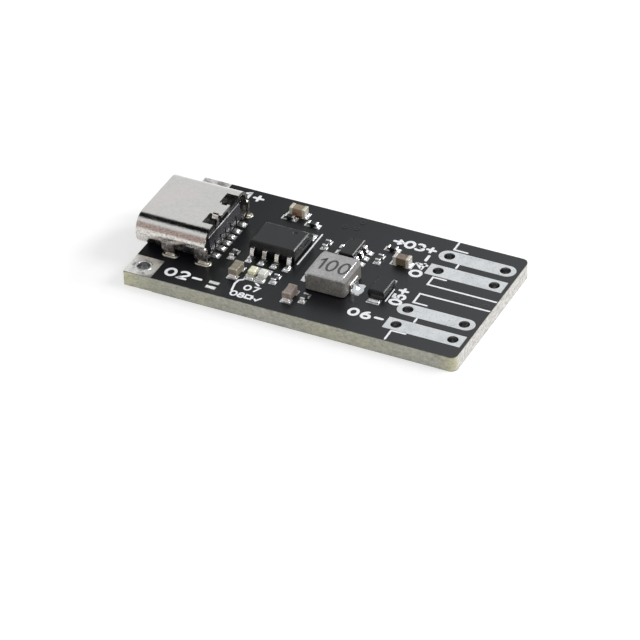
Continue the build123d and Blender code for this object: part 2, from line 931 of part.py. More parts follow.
# Inductor: a moulded block bevelled over its two ends, and a strip folded under each end

with BuildPart() as inductor_terminals:
    for side in (-1, 1):
        with BuildSketch(end_plane(inductor_seat, side)):
            with BuildLine():
                FilletPolyline(
                    (inductor_length / 2 - lead_hold, inductor_tab_height),
                    (inductor_length / 2 + inductor_tab_thickness / 2, inductor_tab_height),
                    (inductor_length / 2 + inductor_tab_thickness / 2, inductor_tab_thickness / 2),
                    (inductor_length / 2 - inductor_tab_foot, inductor_tab_thickness / 2),
                    radius=inductor_tab_thickness * lead_bend_share,
                )
            trace(line_width=inductor_tab_thickness)
    extrude(amount=inductor_tab_width / 2, both=True)
save(inductor_terminals, "inductor_terminals")


def bevelled_profile(length, bevel, drop):
    """The block seen from one side, with a bevel at both ends of its top."""
    end = length / 2
    top = inductor_standoff + inductor_height
    Polyline(
        (-end, 0),
        (end, 0),
        (end, top - drop),
        (end - bevel, top),
        (bevel - end, top),
        (-end, top - drop),
        close=True,
    )


with BuildPart() as inductor_body:
    with BuildSketch(inductor_seat.offset(inductor_standoff)):
        RectangleRounded(inductor_length, inductor_width, inductor_corner)
    extrude(amount=inductor_height)
    with BuildSketch(end_plane(inductor_seat, 1)):
        with BuildLine():
            bevelled_profile(inductor_length, inductor_bevel, inductor_bevel_drop)
        make_face()
    extrude(amount=inductor_width, both=True, mode=Mode.INTERSECT)
    with BuildSketch(lead_plane(inductor_seat, 0, 1)):
        with BuildLine():
            bevelled_profile(inductor_width, inductor_edge_break, inductor_edge_break)
        make_face()
    extrude(amount=inductor_length, both=True, mode=Mode.INTERSECT)
    fillet(faces().sort_by(Axis.Z)[0].edges(), inductor_foot_round)
    add(inductor_terminals.part, mode=Mode.SUBTRACT)
save(inductor_body, "inductor_body")

# Chip capacitors and resistors: a ceramic block whose two ends are dipped in metal


def end_caps(seat, size, cap, height):
    """The outer shape of both plated ends."""
    length, width, _ = size
    with BuildPart() as caps:
        with BuildSketch(seat):
            with Locations((length / 2 - cap / 2, 0), (cap / 2 - length / 2, 0)):
                Rectangle(cap, width)
        extrude(amount=height)
        chamfer(edges(), cap_edge_break)
    return caps


def ceramic_block(seat, size):
    """The ceramic block, thinner than its plated ends by their skin."""
    length, width, height = size
    with BuildPart() as block:
        with BuildSketch(seat.offset(cap_skin)):
            Rectangle(length - 2 * cap_skin, width - 2 * cap_skin)
        extrude(amount=height - 2 * cap_skin)
        chamfer(edges(), cap_edge_break)
    return block


def plated_ends(seat, size, cap, block):
    with BuildPart() as ends:
        add(end_caps(seat, size, cap, size[2]).part)
        add(block.part, mode=Mode.SUBTRACT)
    return ends


for places, size, cap in (
    (capacitor_places, capacitor_size, capacitor_cap),
    (resistor_places, resistor_size, resistor_cap),
):
    for name, (x, y, turned) in places.items():
        seat = seat_at(x, y, turned)
        block = ceramic_block(seat, size)
        save(block, f"{name}_body")
        save(plated_ends(seat, size, cap, block), f"{name}_ends")

# LEDs: a thin base with plated ends and a clear lens moulded over it


def led_base(seat, size):
    with BuildPart() as base:
        with BuildSketch(seat.offset(cap_skin)):
            Rectangle(size[0] - 2 * cap_skin, size[1] - 2 * cap_skin)
        extrude(amount=led_base_height - 2 * cap_skin)
        with BuildSketch(seat.offset(led_base_height - cap_skin)):
            Rectangle(size[0] - 2 * led_cap, size[1] - 2 * cap_skin)
        extrude(amount=cap_skin)
    return base


def led_lens(seat, size):
    with BuildPart() as lens:
        with BuildSketch(seat.offset(led_base_height)):
            Rectangle(led_lens_length, size[1] - 2 * cap_skin)
        extrude(amount=size[2] - led_base_height, taper=led_lens_draft)
        fillet(faces().sort_by(Axis.Z)[-1].edges(), led_lens_round)
    return lens


def led_ends(seat, size, base):
    length, width, _ = size
    with BuildPart() as ends:
        with BuildSketch(seat):
            with Locations((length / 2 - led_cap / 2, 0), (led_cap / 2 - length / 2, 0)):
                Rectangle(led_cap, width)
        extrude(amount=led_base_height)
        add(base.part, mode=Mode.SUBTRACT)
    return ends


for name, (x, y, turned) in led_places.items():
    seat = seat_at(x, y, turned)
    base = led_base(seat, led_size)
    save(base, f"{name}_base")
    save(led_lens(seat, led_size), f"{name}_lens")
    save(led_ends(seat, led_size, base), f"{name}_ends")

# Solder


def fillet_profile(start, reach, rise):
    """A concave fillet of solder between a vertical metal end at start and the land in front of it."""
    middle = 0.5 - solder_hollow * min(reach, rise) / max(reach, rise)
    Line((start, 0), (start + reach, 0))
    ThreePointArc((start + reach, 0), (start + reach * middle, rise * middle), (start, rise))
    Line((start, rise), (start, 0))


def end_solder(seats, start, reach, rise, width):
    """Fillets at both ends of every part that lies on one of the seats."""
    with BuildPart() as fillets:
        for seat in seats:
            for side in (-1, 1):
                with BuildSketch(end_plane(seat, side)):
                    with BuildLine():
                        fillet_profile(start, reach, rise)
                    make_face()
        extrude(amount=width / 2, both=True)
    return fillets


def toe_solder(seat, count, pitch, span, width, thickness):
    """A fillet in front of each lead of a chip."""
    with BuildPart() as fillets:
        for along in lead_rows(count, pitch):
            for side in (-1, 1):
                with BuildSketch(lead_plane(seat, along, side)):
                    with BuildLine():
                        fillet_profile(span / 2, foot_solder, foot_solder_rise * thickness)
                    make_face()
        extrude(amount=width / 2, both=True)
    return fillets


def seats_of(places):
    return [seat_at(x, y, turned) for x, y, turned in places.values()]


solder_groups = [
    end_solder(
        seats_of(capacitor_places),
        capacitor_size[0] / 2,
        land_reach,
        solder_rise * capacitor_size[2],
        capacitor_size[1],
    ),
    end_solder(
        seats_of(resistor_places),
        resistor_size[0] / 2,
        land_reach,
        solder_rise * resistor_size[2],
        resistor_size[1],
    ),
    end_solder(
        seats_of(led_places),
        led_size[0] / 2,
        land_reach,
        solder_rise * led_base_height,
        led_size[1],
    ),
    end_solder(
        [diode_seat],
        diode_tip,
        diode_land_reach,
        solder_rise * diode_lead_thickness,
        diode_lead_width,
    ),
    end_solder(
        [inductor_seat],
        inductor_length / 2 + inductor_tab_thickness,
        inductor_land_reach,
        solder_rise * inductor_tab_height,
        inductor_tab_width,
    ),
]
with BuildPart() as component_solder:
    for fillets in solder_groups:
        add(fillets.part)
save(component_solder, "component_solder")

charger_chip_solder = toe_solder(
    charger_chip_seat,
    4,
    charger_chip_pitch,
    charger_chip_span,
    charger_chip_lead_width,
    charger_chip_lead_thickness,
)
small_chip_solder = toe_solder(
    small_chip_seat,
    3,
    small_chip_pitch,
    small_chip_span,
    small_chip_lead_width,
    small_chip_lead_thickness,
)
with BuildPart() as lead_solder:
    for offset in contact_offsets:
        for side in (-1, 1):
            with BuildSketch(end_plane(seat_at(0, side * offset, False), 1)):
                with BuildLine():
                    fillet_profile(contact_tip_x, foot_solder, foot_solder_rise * contact_thickness)
                make_face()
    extrude(amount=contact_width / 2, both=True)
    add(charger_chip_solder.part)
    add(small_chip_solder.part)
save(lead_solder, "lead_solder")

with BuildPart() as leg_solder:
    with BuildSketch(Plane.XY.offset(mask_thickness)):
        with Locations(*leg_places):
            SlotOverall(slot_length, slot_width)
    extrude(amount=board_thickness - mask_thickness)
    with BuildSketch(top_face):
        with Locations(*leg_places):
            SlotOverall(slot_land_length, slot_land_width)
    extrude(amount=leg_solder_rise, taper=leg_solder_taper)
    add(usb_shell.part, mode=Mode.SUBTRACT)
save(leg_solder, "leg_solder")
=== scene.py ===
import json
import math

import bmesh
import bpy
from mathutils import Matrix, Vector, noise


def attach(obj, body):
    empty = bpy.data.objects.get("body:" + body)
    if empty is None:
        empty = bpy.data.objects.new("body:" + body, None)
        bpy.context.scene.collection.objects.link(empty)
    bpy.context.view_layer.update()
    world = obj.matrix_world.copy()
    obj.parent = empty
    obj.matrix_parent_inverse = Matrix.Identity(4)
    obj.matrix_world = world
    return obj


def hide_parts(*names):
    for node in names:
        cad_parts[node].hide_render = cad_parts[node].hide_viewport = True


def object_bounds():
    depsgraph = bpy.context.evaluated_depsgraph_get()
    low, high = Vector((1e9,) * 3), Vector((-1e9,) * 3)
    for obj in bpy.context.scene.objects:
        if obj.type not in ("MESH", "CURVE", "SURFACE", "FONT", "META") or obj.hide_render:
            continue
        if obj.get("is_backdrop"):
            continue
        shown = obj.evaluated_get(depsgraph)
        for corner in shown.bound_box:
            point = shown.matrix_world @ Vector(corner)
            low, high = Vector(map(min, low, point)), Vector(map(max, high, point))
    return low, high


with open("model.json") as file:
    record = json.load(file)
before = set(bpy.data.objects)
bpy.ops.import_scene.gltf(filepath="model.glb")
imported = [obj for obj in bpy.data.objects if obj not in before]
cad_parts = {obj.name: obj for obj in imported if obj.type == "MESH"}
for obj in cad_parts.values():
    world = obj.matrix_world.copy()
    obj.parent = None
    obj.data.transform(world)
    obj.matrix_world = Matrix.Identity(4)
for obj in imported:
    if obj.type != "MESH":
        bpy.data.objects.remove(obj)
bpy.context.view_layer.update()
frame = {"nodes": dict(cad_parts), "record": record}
nodes = frame["nodes"]

MM = 0.001
BOARD_TOP = 1.6

# Materials. Every one works in millimetres of the object's own space.


class Graph:
    """The node tree of a material or of the world, cleared, with the steps that they share."""

    def __init__(self, owner):
        owner.use_nodes = True
        self.tree = owner.node_tree
        self.tree.nodes.clear()

    def add(self, kind, operation=None):
        node = self.tree.nodes.new(kind)
        if operation:
            node.operation = operation
        return node

    def join(self, source, target):
        self.tree.links.new(source, target)

    def feed(self, socket, value):
        """Gives a socket what another node puts out, a colour or a number."""
        if isinstance(value, bpy.types.NodeSocket):
            self.join(value, socket)
        elif isinstance(value, tuple):
            socket.default_value = (*value, 1)
        else:
            socket.default_value = value

    def part(self, vector, axis):
        """One of the three numbers of a vector."""
        parts = self.add("ShaderNodeSeparateXYZ")
        self.join(vector, parts.inputs[0])
        return parts.outputs[axis]

    def ramp(self, value, *stops):
        """Colours along a value: each stop is a place and a colour, or a place and a grey."""
        ramp = self.add("ShaderNodeValToRGB")
        elements = ramp.color_ramp.elements
        while len(elements) < len(stops):
            elements.new(0.5)
        for element, (place, colour) in zip(elements, stops):
            element.position = place
            if isinstance(colour, (int, float)):
                colour = (colour, colour, colour)
            element.color = (*colour, 1)
        self.join(value, ramp.inputs["Fac"])
        return ramp.outputs["Color"]

    def mix(self, factor, first, second, blend="MIX"):
        """Two colours mixed. The factor is a number or a socket, a colour is a tuple or a socket."""
        mix = self.add("ShaderNodeMix")
        mix.data_type = "RGBA"
        mix.blend_type = blend
        for socket, value in zip([s for s in mix.inputs if s.enabled], (factor, first, second)):
            self.feed(socket, value)
        return [s for s in mix.outputs if s.enabled][0]

    def span(self, value, low, high, start=0.0, end=1.0):
        """A value between start and end, mapped to low and high."""
        span = self.add("ShaderNodeMapRange")
        for name, number in (("From Min", start), ("From Max", end), ("To Min", low), ("To Max", high)):
            span.inputs[name].default_value = number
        self.join(value, span.inputs["Value"])
        return span.outputs["Result"]

    def math(self, operation, first, second):
        node = self.add("ShaderNodeMath", operation)
        for socket, value in zip(node.inputs, (first, second)):
            self.feed(socket, value)
        return node.outputs["Value"]


class Recipe(Graph):
    """A material being built: its node tree, its shader and its coordinates in millimetres."""

    def __init__(self, name, **shader_values):
        self.material = bpy.data.materials.new(name)
        super().__init__(self.material)
        self.shader = self.add("ShaderNodeBsdfPrincipled")
        self.join(self.shader.outputs["BSDF"], self.add("ShaderNodeOutputMaterial").inputs["Surface"])
        self.place = self.add("ShaderNodeTexCoord").outputs["Object"]
        for socket, value in shader_values.items():
            self.shader.inputs[socket.replace("_", " ")].default_value = value

    def spot(self, scale=(1, 1, 1)):
        """Coordinates in millimetres, stretched by scale."""
        mapping = self.add("ShaderNodeMapping")
        mapping.inputs["Scale"].default_value = [s / MM for s in scale]
        self.join(self.place, mapping.inputs["Vector"])
        return mapping.outputs["Vector"]

    def along(self, axis):
        """The place along one axis of the object, in millimetres."""
        return self.part(self.spot(), axis)

    def between(self, axis, start, end, low=0.0, high=1.0):
        """A value that goes from low to high between two places along an axis."""
        return self.span(self.along(axis), low, high, start, end)

    def noise(self, scale, stretch=(1, 1, 1), detail=3.0, rough=0.55):
        """Noise with that many features to a millimetre."""
        node = self.add("ShaderNodeTexNoise")
        for socket, value in (("Scale", scale), ("Detail", detail), ("Roughness", rough)):
            node.inputs[socket].default_value = value
        self.join(self.spot(stretch), node.inputs["Vector"])
        return node.outputs["Fac"]

    def colour(self, socket):
        self.join(socket, self.shader.inputs["Base Color"])

    def roughness(self, socket):
        self.join(socket, self.shader.inputs["Roughness"])

    def gloss(self, socket):
        self.join(socket, self.shader.inputs["Specular IOR Level"])

    def bump(self, height, depth_mm, strength):
        bump = self.add("ShaderNodeBump")
        bump.inputs["Distance"].default_value = depth_mm * MM
        bump.inputs["Strength"].default_value = strength
        self.join(height, bump.inputs["Height"])
        self.join(bump.outputs["Normal"], self.shader.inputs["Normal"])


X, Y, Z = range(3)
# What a tone is multiplied by on a dull patch, on a dark one and on a pale spot
DULL_SHARE = 0.86
DARK_SHARE = 0.75
PALE_SHARE = 1.35


def shaded(tone, share):
    return tuple(min(1.0, share * c) for c in tone)


def glass_fibre():
    """The cut edge of the laminate: mottled grey with yellow patches, paler at the terminal end."""
    r = Recipe("glass fibre laminate", Specular_IOR_Level=0.3)
    slow = r.noise(0.30, detail=3, rough=0.6)
    blots = r.noise(1.9, stretch=(1, 1, 1.4), detail=4, rough=0.7)
    plies = r.noise(0.9, stretch=(1.2, 1.2, 10), detail=4, rough=0.65)
    grain = r.noise(8, stretch=(1, 1, 1.5), detail=3, rough=0.7)
    base = r.ramp(
        slow, (0.36, (0.64, 0.63, 0.55)), (0.52, (0.60, 0.59, 0.45)), (0.66, (0.68, 0.67, 0.43))
    )
    blotted = r.ramp(
        blots, (0.3, (0.20, 0.20, 0.17)), (0.5, (0.52, 0.51, 0.45)), (0.7, (0.78, 0.77, 0.68))
    )
    mottled = r.mix(0.5, base, blotted)
    streaked = r.mix(0.35, mottled, r.ramp(plies, (0.3, (0.26, 0.26, 0.22)), (0.7, (0.62, 0.61, 0.53))))
    pale = r.ramp(
        blots, (0.3, (0.48, 0.46, 0.43)), (0.55, (0.72, 0.70, 0.67)), (0.75, (0.85, 0.84, 0.82))
    )
    toned = r.mix(r.between(X, 16.3, 16.75), streaked, pale)
    corner = r.math("MULTIPLY", r.between(X, 15.2, 16.5, 0.0, 0.7), r.between(Y, -8.0, -7.2, 1.0, 0.0))
    toned = r.mix(corner, toned, (0.66, 0.63, 0.40))
    toned = r.mix(r.between(X, -16.7, -14.0, 0.75, 0.0), toned, (0.78, 0.77, 0.50))
    coarse = r.noise(3.4, stretch=(1, 1, 1.5), detail=4, rough=0.75)
    toned = r.mix(r.span(coarse, 0.0, 0.5, 0.50, 0.66), toned, (0.17, 0.17, 0.13))
    speckled = r.mix(r.span(grain, 0.0, 0.35, 0.52, 0.72), toned, (0.24, 0.24, 0.19))
    wander = r.math("ADD", r.along(Z), r.span(r.noise(2.6, stretch=(1, 1, 0), detail=2), -0.05, 0.05))
    under_mask = r.span(wander, 0.0, 0.85, 1.47, 1.55)
    r.colour(r.mix(under_mask, speckled, (0.03, 0.03, 0.028)))
    r.roughness(r.span(grain, 0.55, 0.85))
    r.bump(r.mix(0.5, plies, grain), 0.03, 0.7)
    return r.material


def solder_mask():
    """Satin black print over copper: a nearly black body whose tone comes from what it mirrors."""
    r = Recipe("black solder mask")
    slow = r.noise(0.16, detail=2)
    weave = r.noise(2.2, detail=3, rough=0.6)
    fine = r.noise(13, detail=2)
    r.colour(r.ramp(slow, (0.35, (0.0040, 0.0048, 0.0048)), (0.65, (0.0060, 0.0062, 0.0092))))
    r.gloss(r.between(X, -14.0, 16.0, 0.12, 0.66))
    r.roughness(r.span(slow, 0.31, 0.39, 0.3, 0.7))
    r.bump(r.mix(0.4, weave, fine), 0.006, 0.4)
    return r.material


def plated(name, tone, rough, unevenness, scale):
    """Tinned or plated metal whose surface flowed: soft, uneven reflections."""
    r = Recipe(name, Metallic=1.0)
    slow = r.noise(scale, detail=2)
    fine = r.noise(15, detail=3)
    dull = shaded(tone, DULL_SHARE)
    r.colour(r.mix(r.span(fine, 0.0, 0.6, 0.45, 0.75), r.ramp(slow, (0.35, dull), (0.65, tone)), dull))
    r.roughness(r.span(slow, rough * 0.8, rough * 1.25, 0.3, 0.7))
    r.bump(r.mix(0.25, slow, fine), unevenness, 0.5)
    return r.material


def shell_steel():
    """Rolled and plated steel: streaks along the socket, spots, and darker below its middle, where the
    legs are tarnished and the lower sides carry a painted dark reflection of the board.
    """
    r = Recipe("plated shell steel", Metallic=1.0, Anisotropic=0.2)
    streaks = r.noise(5, stretch=(0.3, 1.6, 1.6), detail=4, rough=0.65)
    spots = r.noise(3.2, detail=4, rough=0.7)
    slow = r.noise(0.35, detail=1)
    tone = r.ramp(spots, (0.3, (0.67, 0.65, 0.62)), (0.7, (0.77, 0.75, 0.72)))
    warm = r.mix(r.span(slow, 0.0, 0.5, 0.45, 0.7), tone, (0.78, 0.70, 0.69))
    flat = r.mix(r.span(streaks, 0.0, 0.25, 0.45, 0.8), warm, (0.62, 0.61, 0.59))
    # Below its middle the steel is mottled dark: tarnish on the legs, and a painted reflection of the
    # dark board on the lower sides
    below = r.math("MULTIPLY", r.between(Z, 2.75, 3.10, 1.0, 0.0), r.between(X, -15.9, -14.9))
    tarnish_and_board_reflection = r.ramp(
        spots, (0.35, (0.10, 0.09, 0.09)), (0.53, (0.30, 0.27, 0.26)), (0.66, (0.85, 0.80, 0.76))
    )
    flank = r.math("MAXIMUM", r.between(Y, -4.25, -4.0, 1.0, 0.0), r.between(Y, 4.0, 4.25))
    pits = r.span(r.noise(4.2, stretch=(1.2, 1, 1.8), detail=5, rough=0.8), 0.0, 0.8, 0.46, 0.60)
    pitted = r.mix(r.math("MULTIPLY", flank, pits), flat, (0.30, 0.26, 0.22))
    r.colour(r.mix(below, pitted, tarnish_and_board_reflection))
    r.roughness(r.math("ADD", r.span(streaks, 0.09, 0.20, 0.3, 0.7), r.span(below, 0.0, 0.25)))
    ragged = r.noise(4.5, stretch=(1.6, 1, 1), detail=3, rough=0.7)
    height = r.mix(0.5, spots, ragged)
    r.bump(r.mix(flank, spots, height), 0.022, 0.8)
    return r.material


def moulded(name, tone, rough, grain, depth, gloss=0.45):
    """Moulded resin or plastic with a fine even grain."""
    r = Recipe(name, Specular_IOR_Level=gloss)
    fine = r.noise(grain, detail=3, rough=0.6)
    slow = r.noise(0.8, detail=2)
    r.colour(r.ramp(slow, (0.3, shaded(tone, DARK_SHARE)), (0.7, tone)))
    r.roughness(r.span(fine, rough - 0.08, rough + 0.1, 0.3, 0.7))
    r.bump(fine, depth, 0.5)
    return r.material


def housing_plastic():
    """Black moulded plastic, glossy on its rear face; on top, under the shell, it is painted near black
    and dull as shade.
    """
    r = Recipe("moulded housing plastic")
    fine = r.noise(5, detail=3, rough=0.6)
    slow = r.noise(0.8, detail=2)
    # Under the shell the top is painted near black and less glossy: painted shade of the recess
    shade_under_shell = r.between(Z, 3.75, 4.0)
    face = r.ramp(slow, (0.3, (0.024, 0.023, 0.027)), (0.7, (0.032, 0.031, 0.036)))
    r.colour(r.mix(shade_under_shell, face, (0.006, 0.006, 0.006)))
    r.gloss(r.span(shade_under_shell, 0.5, 0.06))
    r.roughness(r.span(fine, 0.17, 0.35, 0.3, 0.7))
    r.bump(fine, 0.012, 0.5)
    return r.material


def ceramic(name, tone, shade, flush=None):
    """Fired ceramic with a faint layering. flush is the warm tone of its foot, and how high it rises."""
    r = Recipe(name, Specular_IOR_Level=0.6, Coat_Weight=0.15)
    slow = r.noise(1.7, detail=3)
    layers = r.noise(3, stretch=(0.6, 0.6, 5), detail=2)
    spots = r.noise(6, detail=3, rough=0.7)
    base = r.mix(r.span(layers, 0.0, 0.6, 0.35, 0.7), r.ramp(slow, (0.3, shade), (0.7, tone)), shade)
    if flush:
        warm, top = flush
        wander = r.math("ADD", r.along(Z), r.span(slow, -0.5, 0.5))
        base = r.mix(r.span(wander, 1.0, 0.0, top, top + 0.3), base, warm)
    r.colour(r.mix(r.span(spots, 0.0, 0.5, 0.52, 0.72), base, shaded(tone, PALE_SHARE)))
    r.roughness(r.span(slow, 0.25, 0.42, 0.3, 0.7))
    r.bump(spots, 0.02, 0.5)
    return r.material


def lens(name, tone, glow):
    """Moulded clear resin over a pale die."""
    r = Recipe(name, Roughness=0.2, Subsurface_Weight=0.3, Coat_Weight=0.5)
    r.shader.inputs["Subsurface Radius"].default_value = (0.3 * MM, 0.3 * MM, 0.2 * MM)
    r.shader.inputs["Subsurface Scale"].default_value = 1.0
    cloud = r.noise(2.6, detail=2)
    r.colour(r.ramp(cloud, (0.32, tone), (0.6, glow)))
    r.bump(r.noise(5, detail=2), 0.02, 0.4)
    return r.material


def ink(name, tone):
    """Screen-printed ink, a little uneven."""
    r = Recipe(name, Specular_IOR_Level=0.4)
    fine = r.noise(11, detail=3)
    r.colour(r.ramp(fine, (0.3, shaded(tone, DULL_SHARE)), (0.6, tone)))
    r.roughness(r.span(fine, 0.4, 0.6))
    r.bump(fine, 0.006, 0.4)
    return r.material


def inductor_skin():
    """Pressed iron powder: mottled grey with bright and dark grains; its sides are browner, and are
    painted darker than its top as shade.
    """
    r = Recipe("pressed iron powder", Metallic=0.15)
    grains = r.noise(6.5, detail=4, rough=0.75)
    slow = r.noise(0.9, detail=3)
    # Top and sides are lit and shaded copies of one skin: the sides are painted darker as shade, and
    # browner
    top = r.ramp(slow, (0.3, (0.36, 0.355, 0.352)), (0.7, (0.43, 0.427, 0.424)))
    side = r.ramp(slow, (0.3, (0.150, 0.140, 0.128)), (0.7, (0.230, 0.215, 0.195)))
    base = r.mix(r.between(Z, 3.34, 3.48), side, top)
    # The right bevel is painted darker and duller as shade, and the far left bevel paler as a painted
    # highlight
    bevel = r.math("MULTIPLY", r.between(X, 3.43, 3.50), r.between(Z, 3.1, 3.25))
    base = r.mix(bevel, base, (0.20, 0.195, 0.19))
    far_bevel_highlight = r.math("MULTIPLY", r.between(X, 0.10, 0.17, 1.0, 0.0), r.between(Z, 3.1, 3.25))
    base = r.mix(far_bevel_highlight, base, (0.66, 0.65, 0.64))
    r.gloss(r.span(bevel, 0.4, 0.12))
    flecks = r.ramp(grains, (0.28, 0.35), (0.5, 0.95), (0.72, 1.6))
    r.colour(r.mix(0.75, base, flecks, "MULTIPLY"))
    r.roughness(r.span(grains, 0.36, 0.6, 0.3, 0.7))
    r.bump(grains, 0.05, 0.6)
    return r.material


def tinned(name, tone, worn, share, barrel_shade_tones=(0.07, 0.22, 0.55)):
    """Tinned copper: speckled, worn darker in patches, and painted dark as shade down inside its holes.
    """
    r = Recipe(name, Metallic=1.0)
    slow = r.noise(0.8, detail=3, rough=0.65)
    specks = r.noise(4.5, detail=4, rough=0.75)
    patched = r.mix(r.span(slow, 0.0, 1.0, share, share + 0.2), tone, worn)
    speckled = r.mix(r.span(specks, 0.55, 0.0, 0.30, 0.46), patched, (0.30, 0.30, 0.29))
    # Down inside a hole the copper is painted dark and mottled: painted shade
    barrel_shade = r.ramp(specks, *zip((0.35, 0.52, 0.68), barrel_shade_tones))
    inside = r.math("MULTIPLY", r.between(Z, 1.35, 1.59, 1.0, 0.0), r.between(Z, 0.05, 0.2))
    r.colour(r.mix(inside, speckled, barrel_shade))
    r.roughness(r.span(specks, 0.27, 0.42, 0.3, 0.7))
    r.bump(r.mix(0.5, slow, specks), 0.018, 0.5)
    return r.material


SILVER = (0.78, 0.79, 0.80)
FINISHES = {
    "glass_fibre": glass_fibre(),
    "solder_mask": solder_mask(),
    "tinned_copper": tinned("tinned copper", (0.86, 0.87, 0.87), (0.76, 0.77, 0.77), 0.45),
    "shell_steel": shell_steel(),
    "contact_metal": plated("plated contact", (0.66, 0.65, 0.62), 0.34, 0.006, 1.5),
    "housing_plastic": housing_plastic(),
    "chip_resin": moulded("chip resin", (0.0095, 0.0095, 0.0098), 0.30, 20, 0.004, 0.42),
    "lead_metal": plated("tinned lead", (0.80, 0.80, 0.79), 0.15, 0.018, 3.0),
    "iron_powder": inductor_skin(),
    "resistor_coat": moulded("resistor coat", (0.014, 0.014, 0.016), 0.3, 12, 0.006),
    "end_plating": plated("plated end", (0.72, 0.72, 0.70), 0.27, 0.03, 4.0),
    "led_laminate": moulded("white laminate", (0.72, 0.71, 0.63), 0.5, 12, 0.006),
    "lens_yellow": lens("yellow lens", (0.62, 0.60, 0.38), (0.84, 0.82, 0.62)),
    "lens_white": lens("white lens", (0.56, 0.56, 0.50), (0.84, 0.84, 0.78)),
    "solder": plated("solder", SILVER, 0.14, 0.05, 3.4),
}
# The last tones are the painted shade down inside the pad's hole, lighter than on the other pads
WORN_PAD = tinned("worn corner pad", (0.90, 0.89, 0.84), (0.30, 0.27, 0.26), 0.42, (0.20, 0.42, 0.80))
# Nodes that look unlike the rest of their slot: the capacitors differ in tone, and two have a
# foot that flux has browned
SPECIAL_FINISHES = {
    "input_capacitor_body": ceramic("input capacitor", (0.29, 0.25, 0.18), (0.17, 0.145, 0.10)),
    "output_capacitor_body": ceramic(
        "output capacitor", (0.31, 0.235, 0.19), (0.13, 0.09, 0.07), ((0.14, 0.105, 0.055), 2.15)
    ),
    "battery_capacitor_body": ceramic("battery capacitor", (0.33, 0.27, 0.235), (0.19, 0.15, 0.125)),
    "chip_capacitor_body": ceramic(
        "chip capacitor", (0.34, 0.28, 0.19), (0.20, 0.15, 0.09), ((0.25, 0.10, 0.045), 1.95)
    ),
    "input_capacitor_ends": ceramic("input capacitor ends", (0.36, 0.32, 0.25), (0.22, 0.19, 0.14)),
    "battery_capacitor_ends": ceramic("battery capacitor ends", (0.38, 0.32, 0.28), (0.24, 0.19, 0.16)),
    "chip_capacitor_ends": ceramic("chip capacitor ends", (0.68, 0.67, 0.56), (0.48, 0.44, 0.32)),
    "output_capacitor_ends": ceramic("output capacitor ends", (0.74, 0.72, 0.64), (0.42, 0.37, 0.31)),
    "inductor_terminals": plated("inductor strip", (0.46, 0.45, 0.43), 0.36, 0.04, 3.0),
    "input_ground_pad": WORN_PAD,
    "input_plus_pad": WORN_PAD,
}
slots = {part["node"]: part["material_slot"] for part in frame["record"]["subparts"]}
for name, piece in nodes.items():
    piece.data.materials.clear()
    piece.data.materials.append(SPECIAL_FINISHES.get(name) or FINISHES[slots[name]])

# Broken edges, which catch the light: how the node's name ends, and their width in millimetres
BROKEN_EDGES = {
    "usb_shell": 0.04,
    "usb_housing": 0.07,
    "charger_chip_body": 0.09,
    "small_chip_body": 0.07,
    "diode_body": 0.08,
    "inductor_body": 0.07,
    "charger_chip_leads": 0.03,
    "small_chip_leads": 0.025,
    "diode_leads": 0.03,
    "inductor_terminals": 0.03,
    "usb_contacts": 0.025,
    "charging_led_lens": 0.07,
    "charged_led_lens": 0.07,
    "_capacitor_ends": 0.05,
    "_capacitor_body": 0.05,
    "_resistor_ends": 0.03,
}
# Points of a mesh that are nearer than this are one point
SEAM = 0.0005
# The edges within this depth below the highest point are those of the top
TOP_DEPTH = 0.05


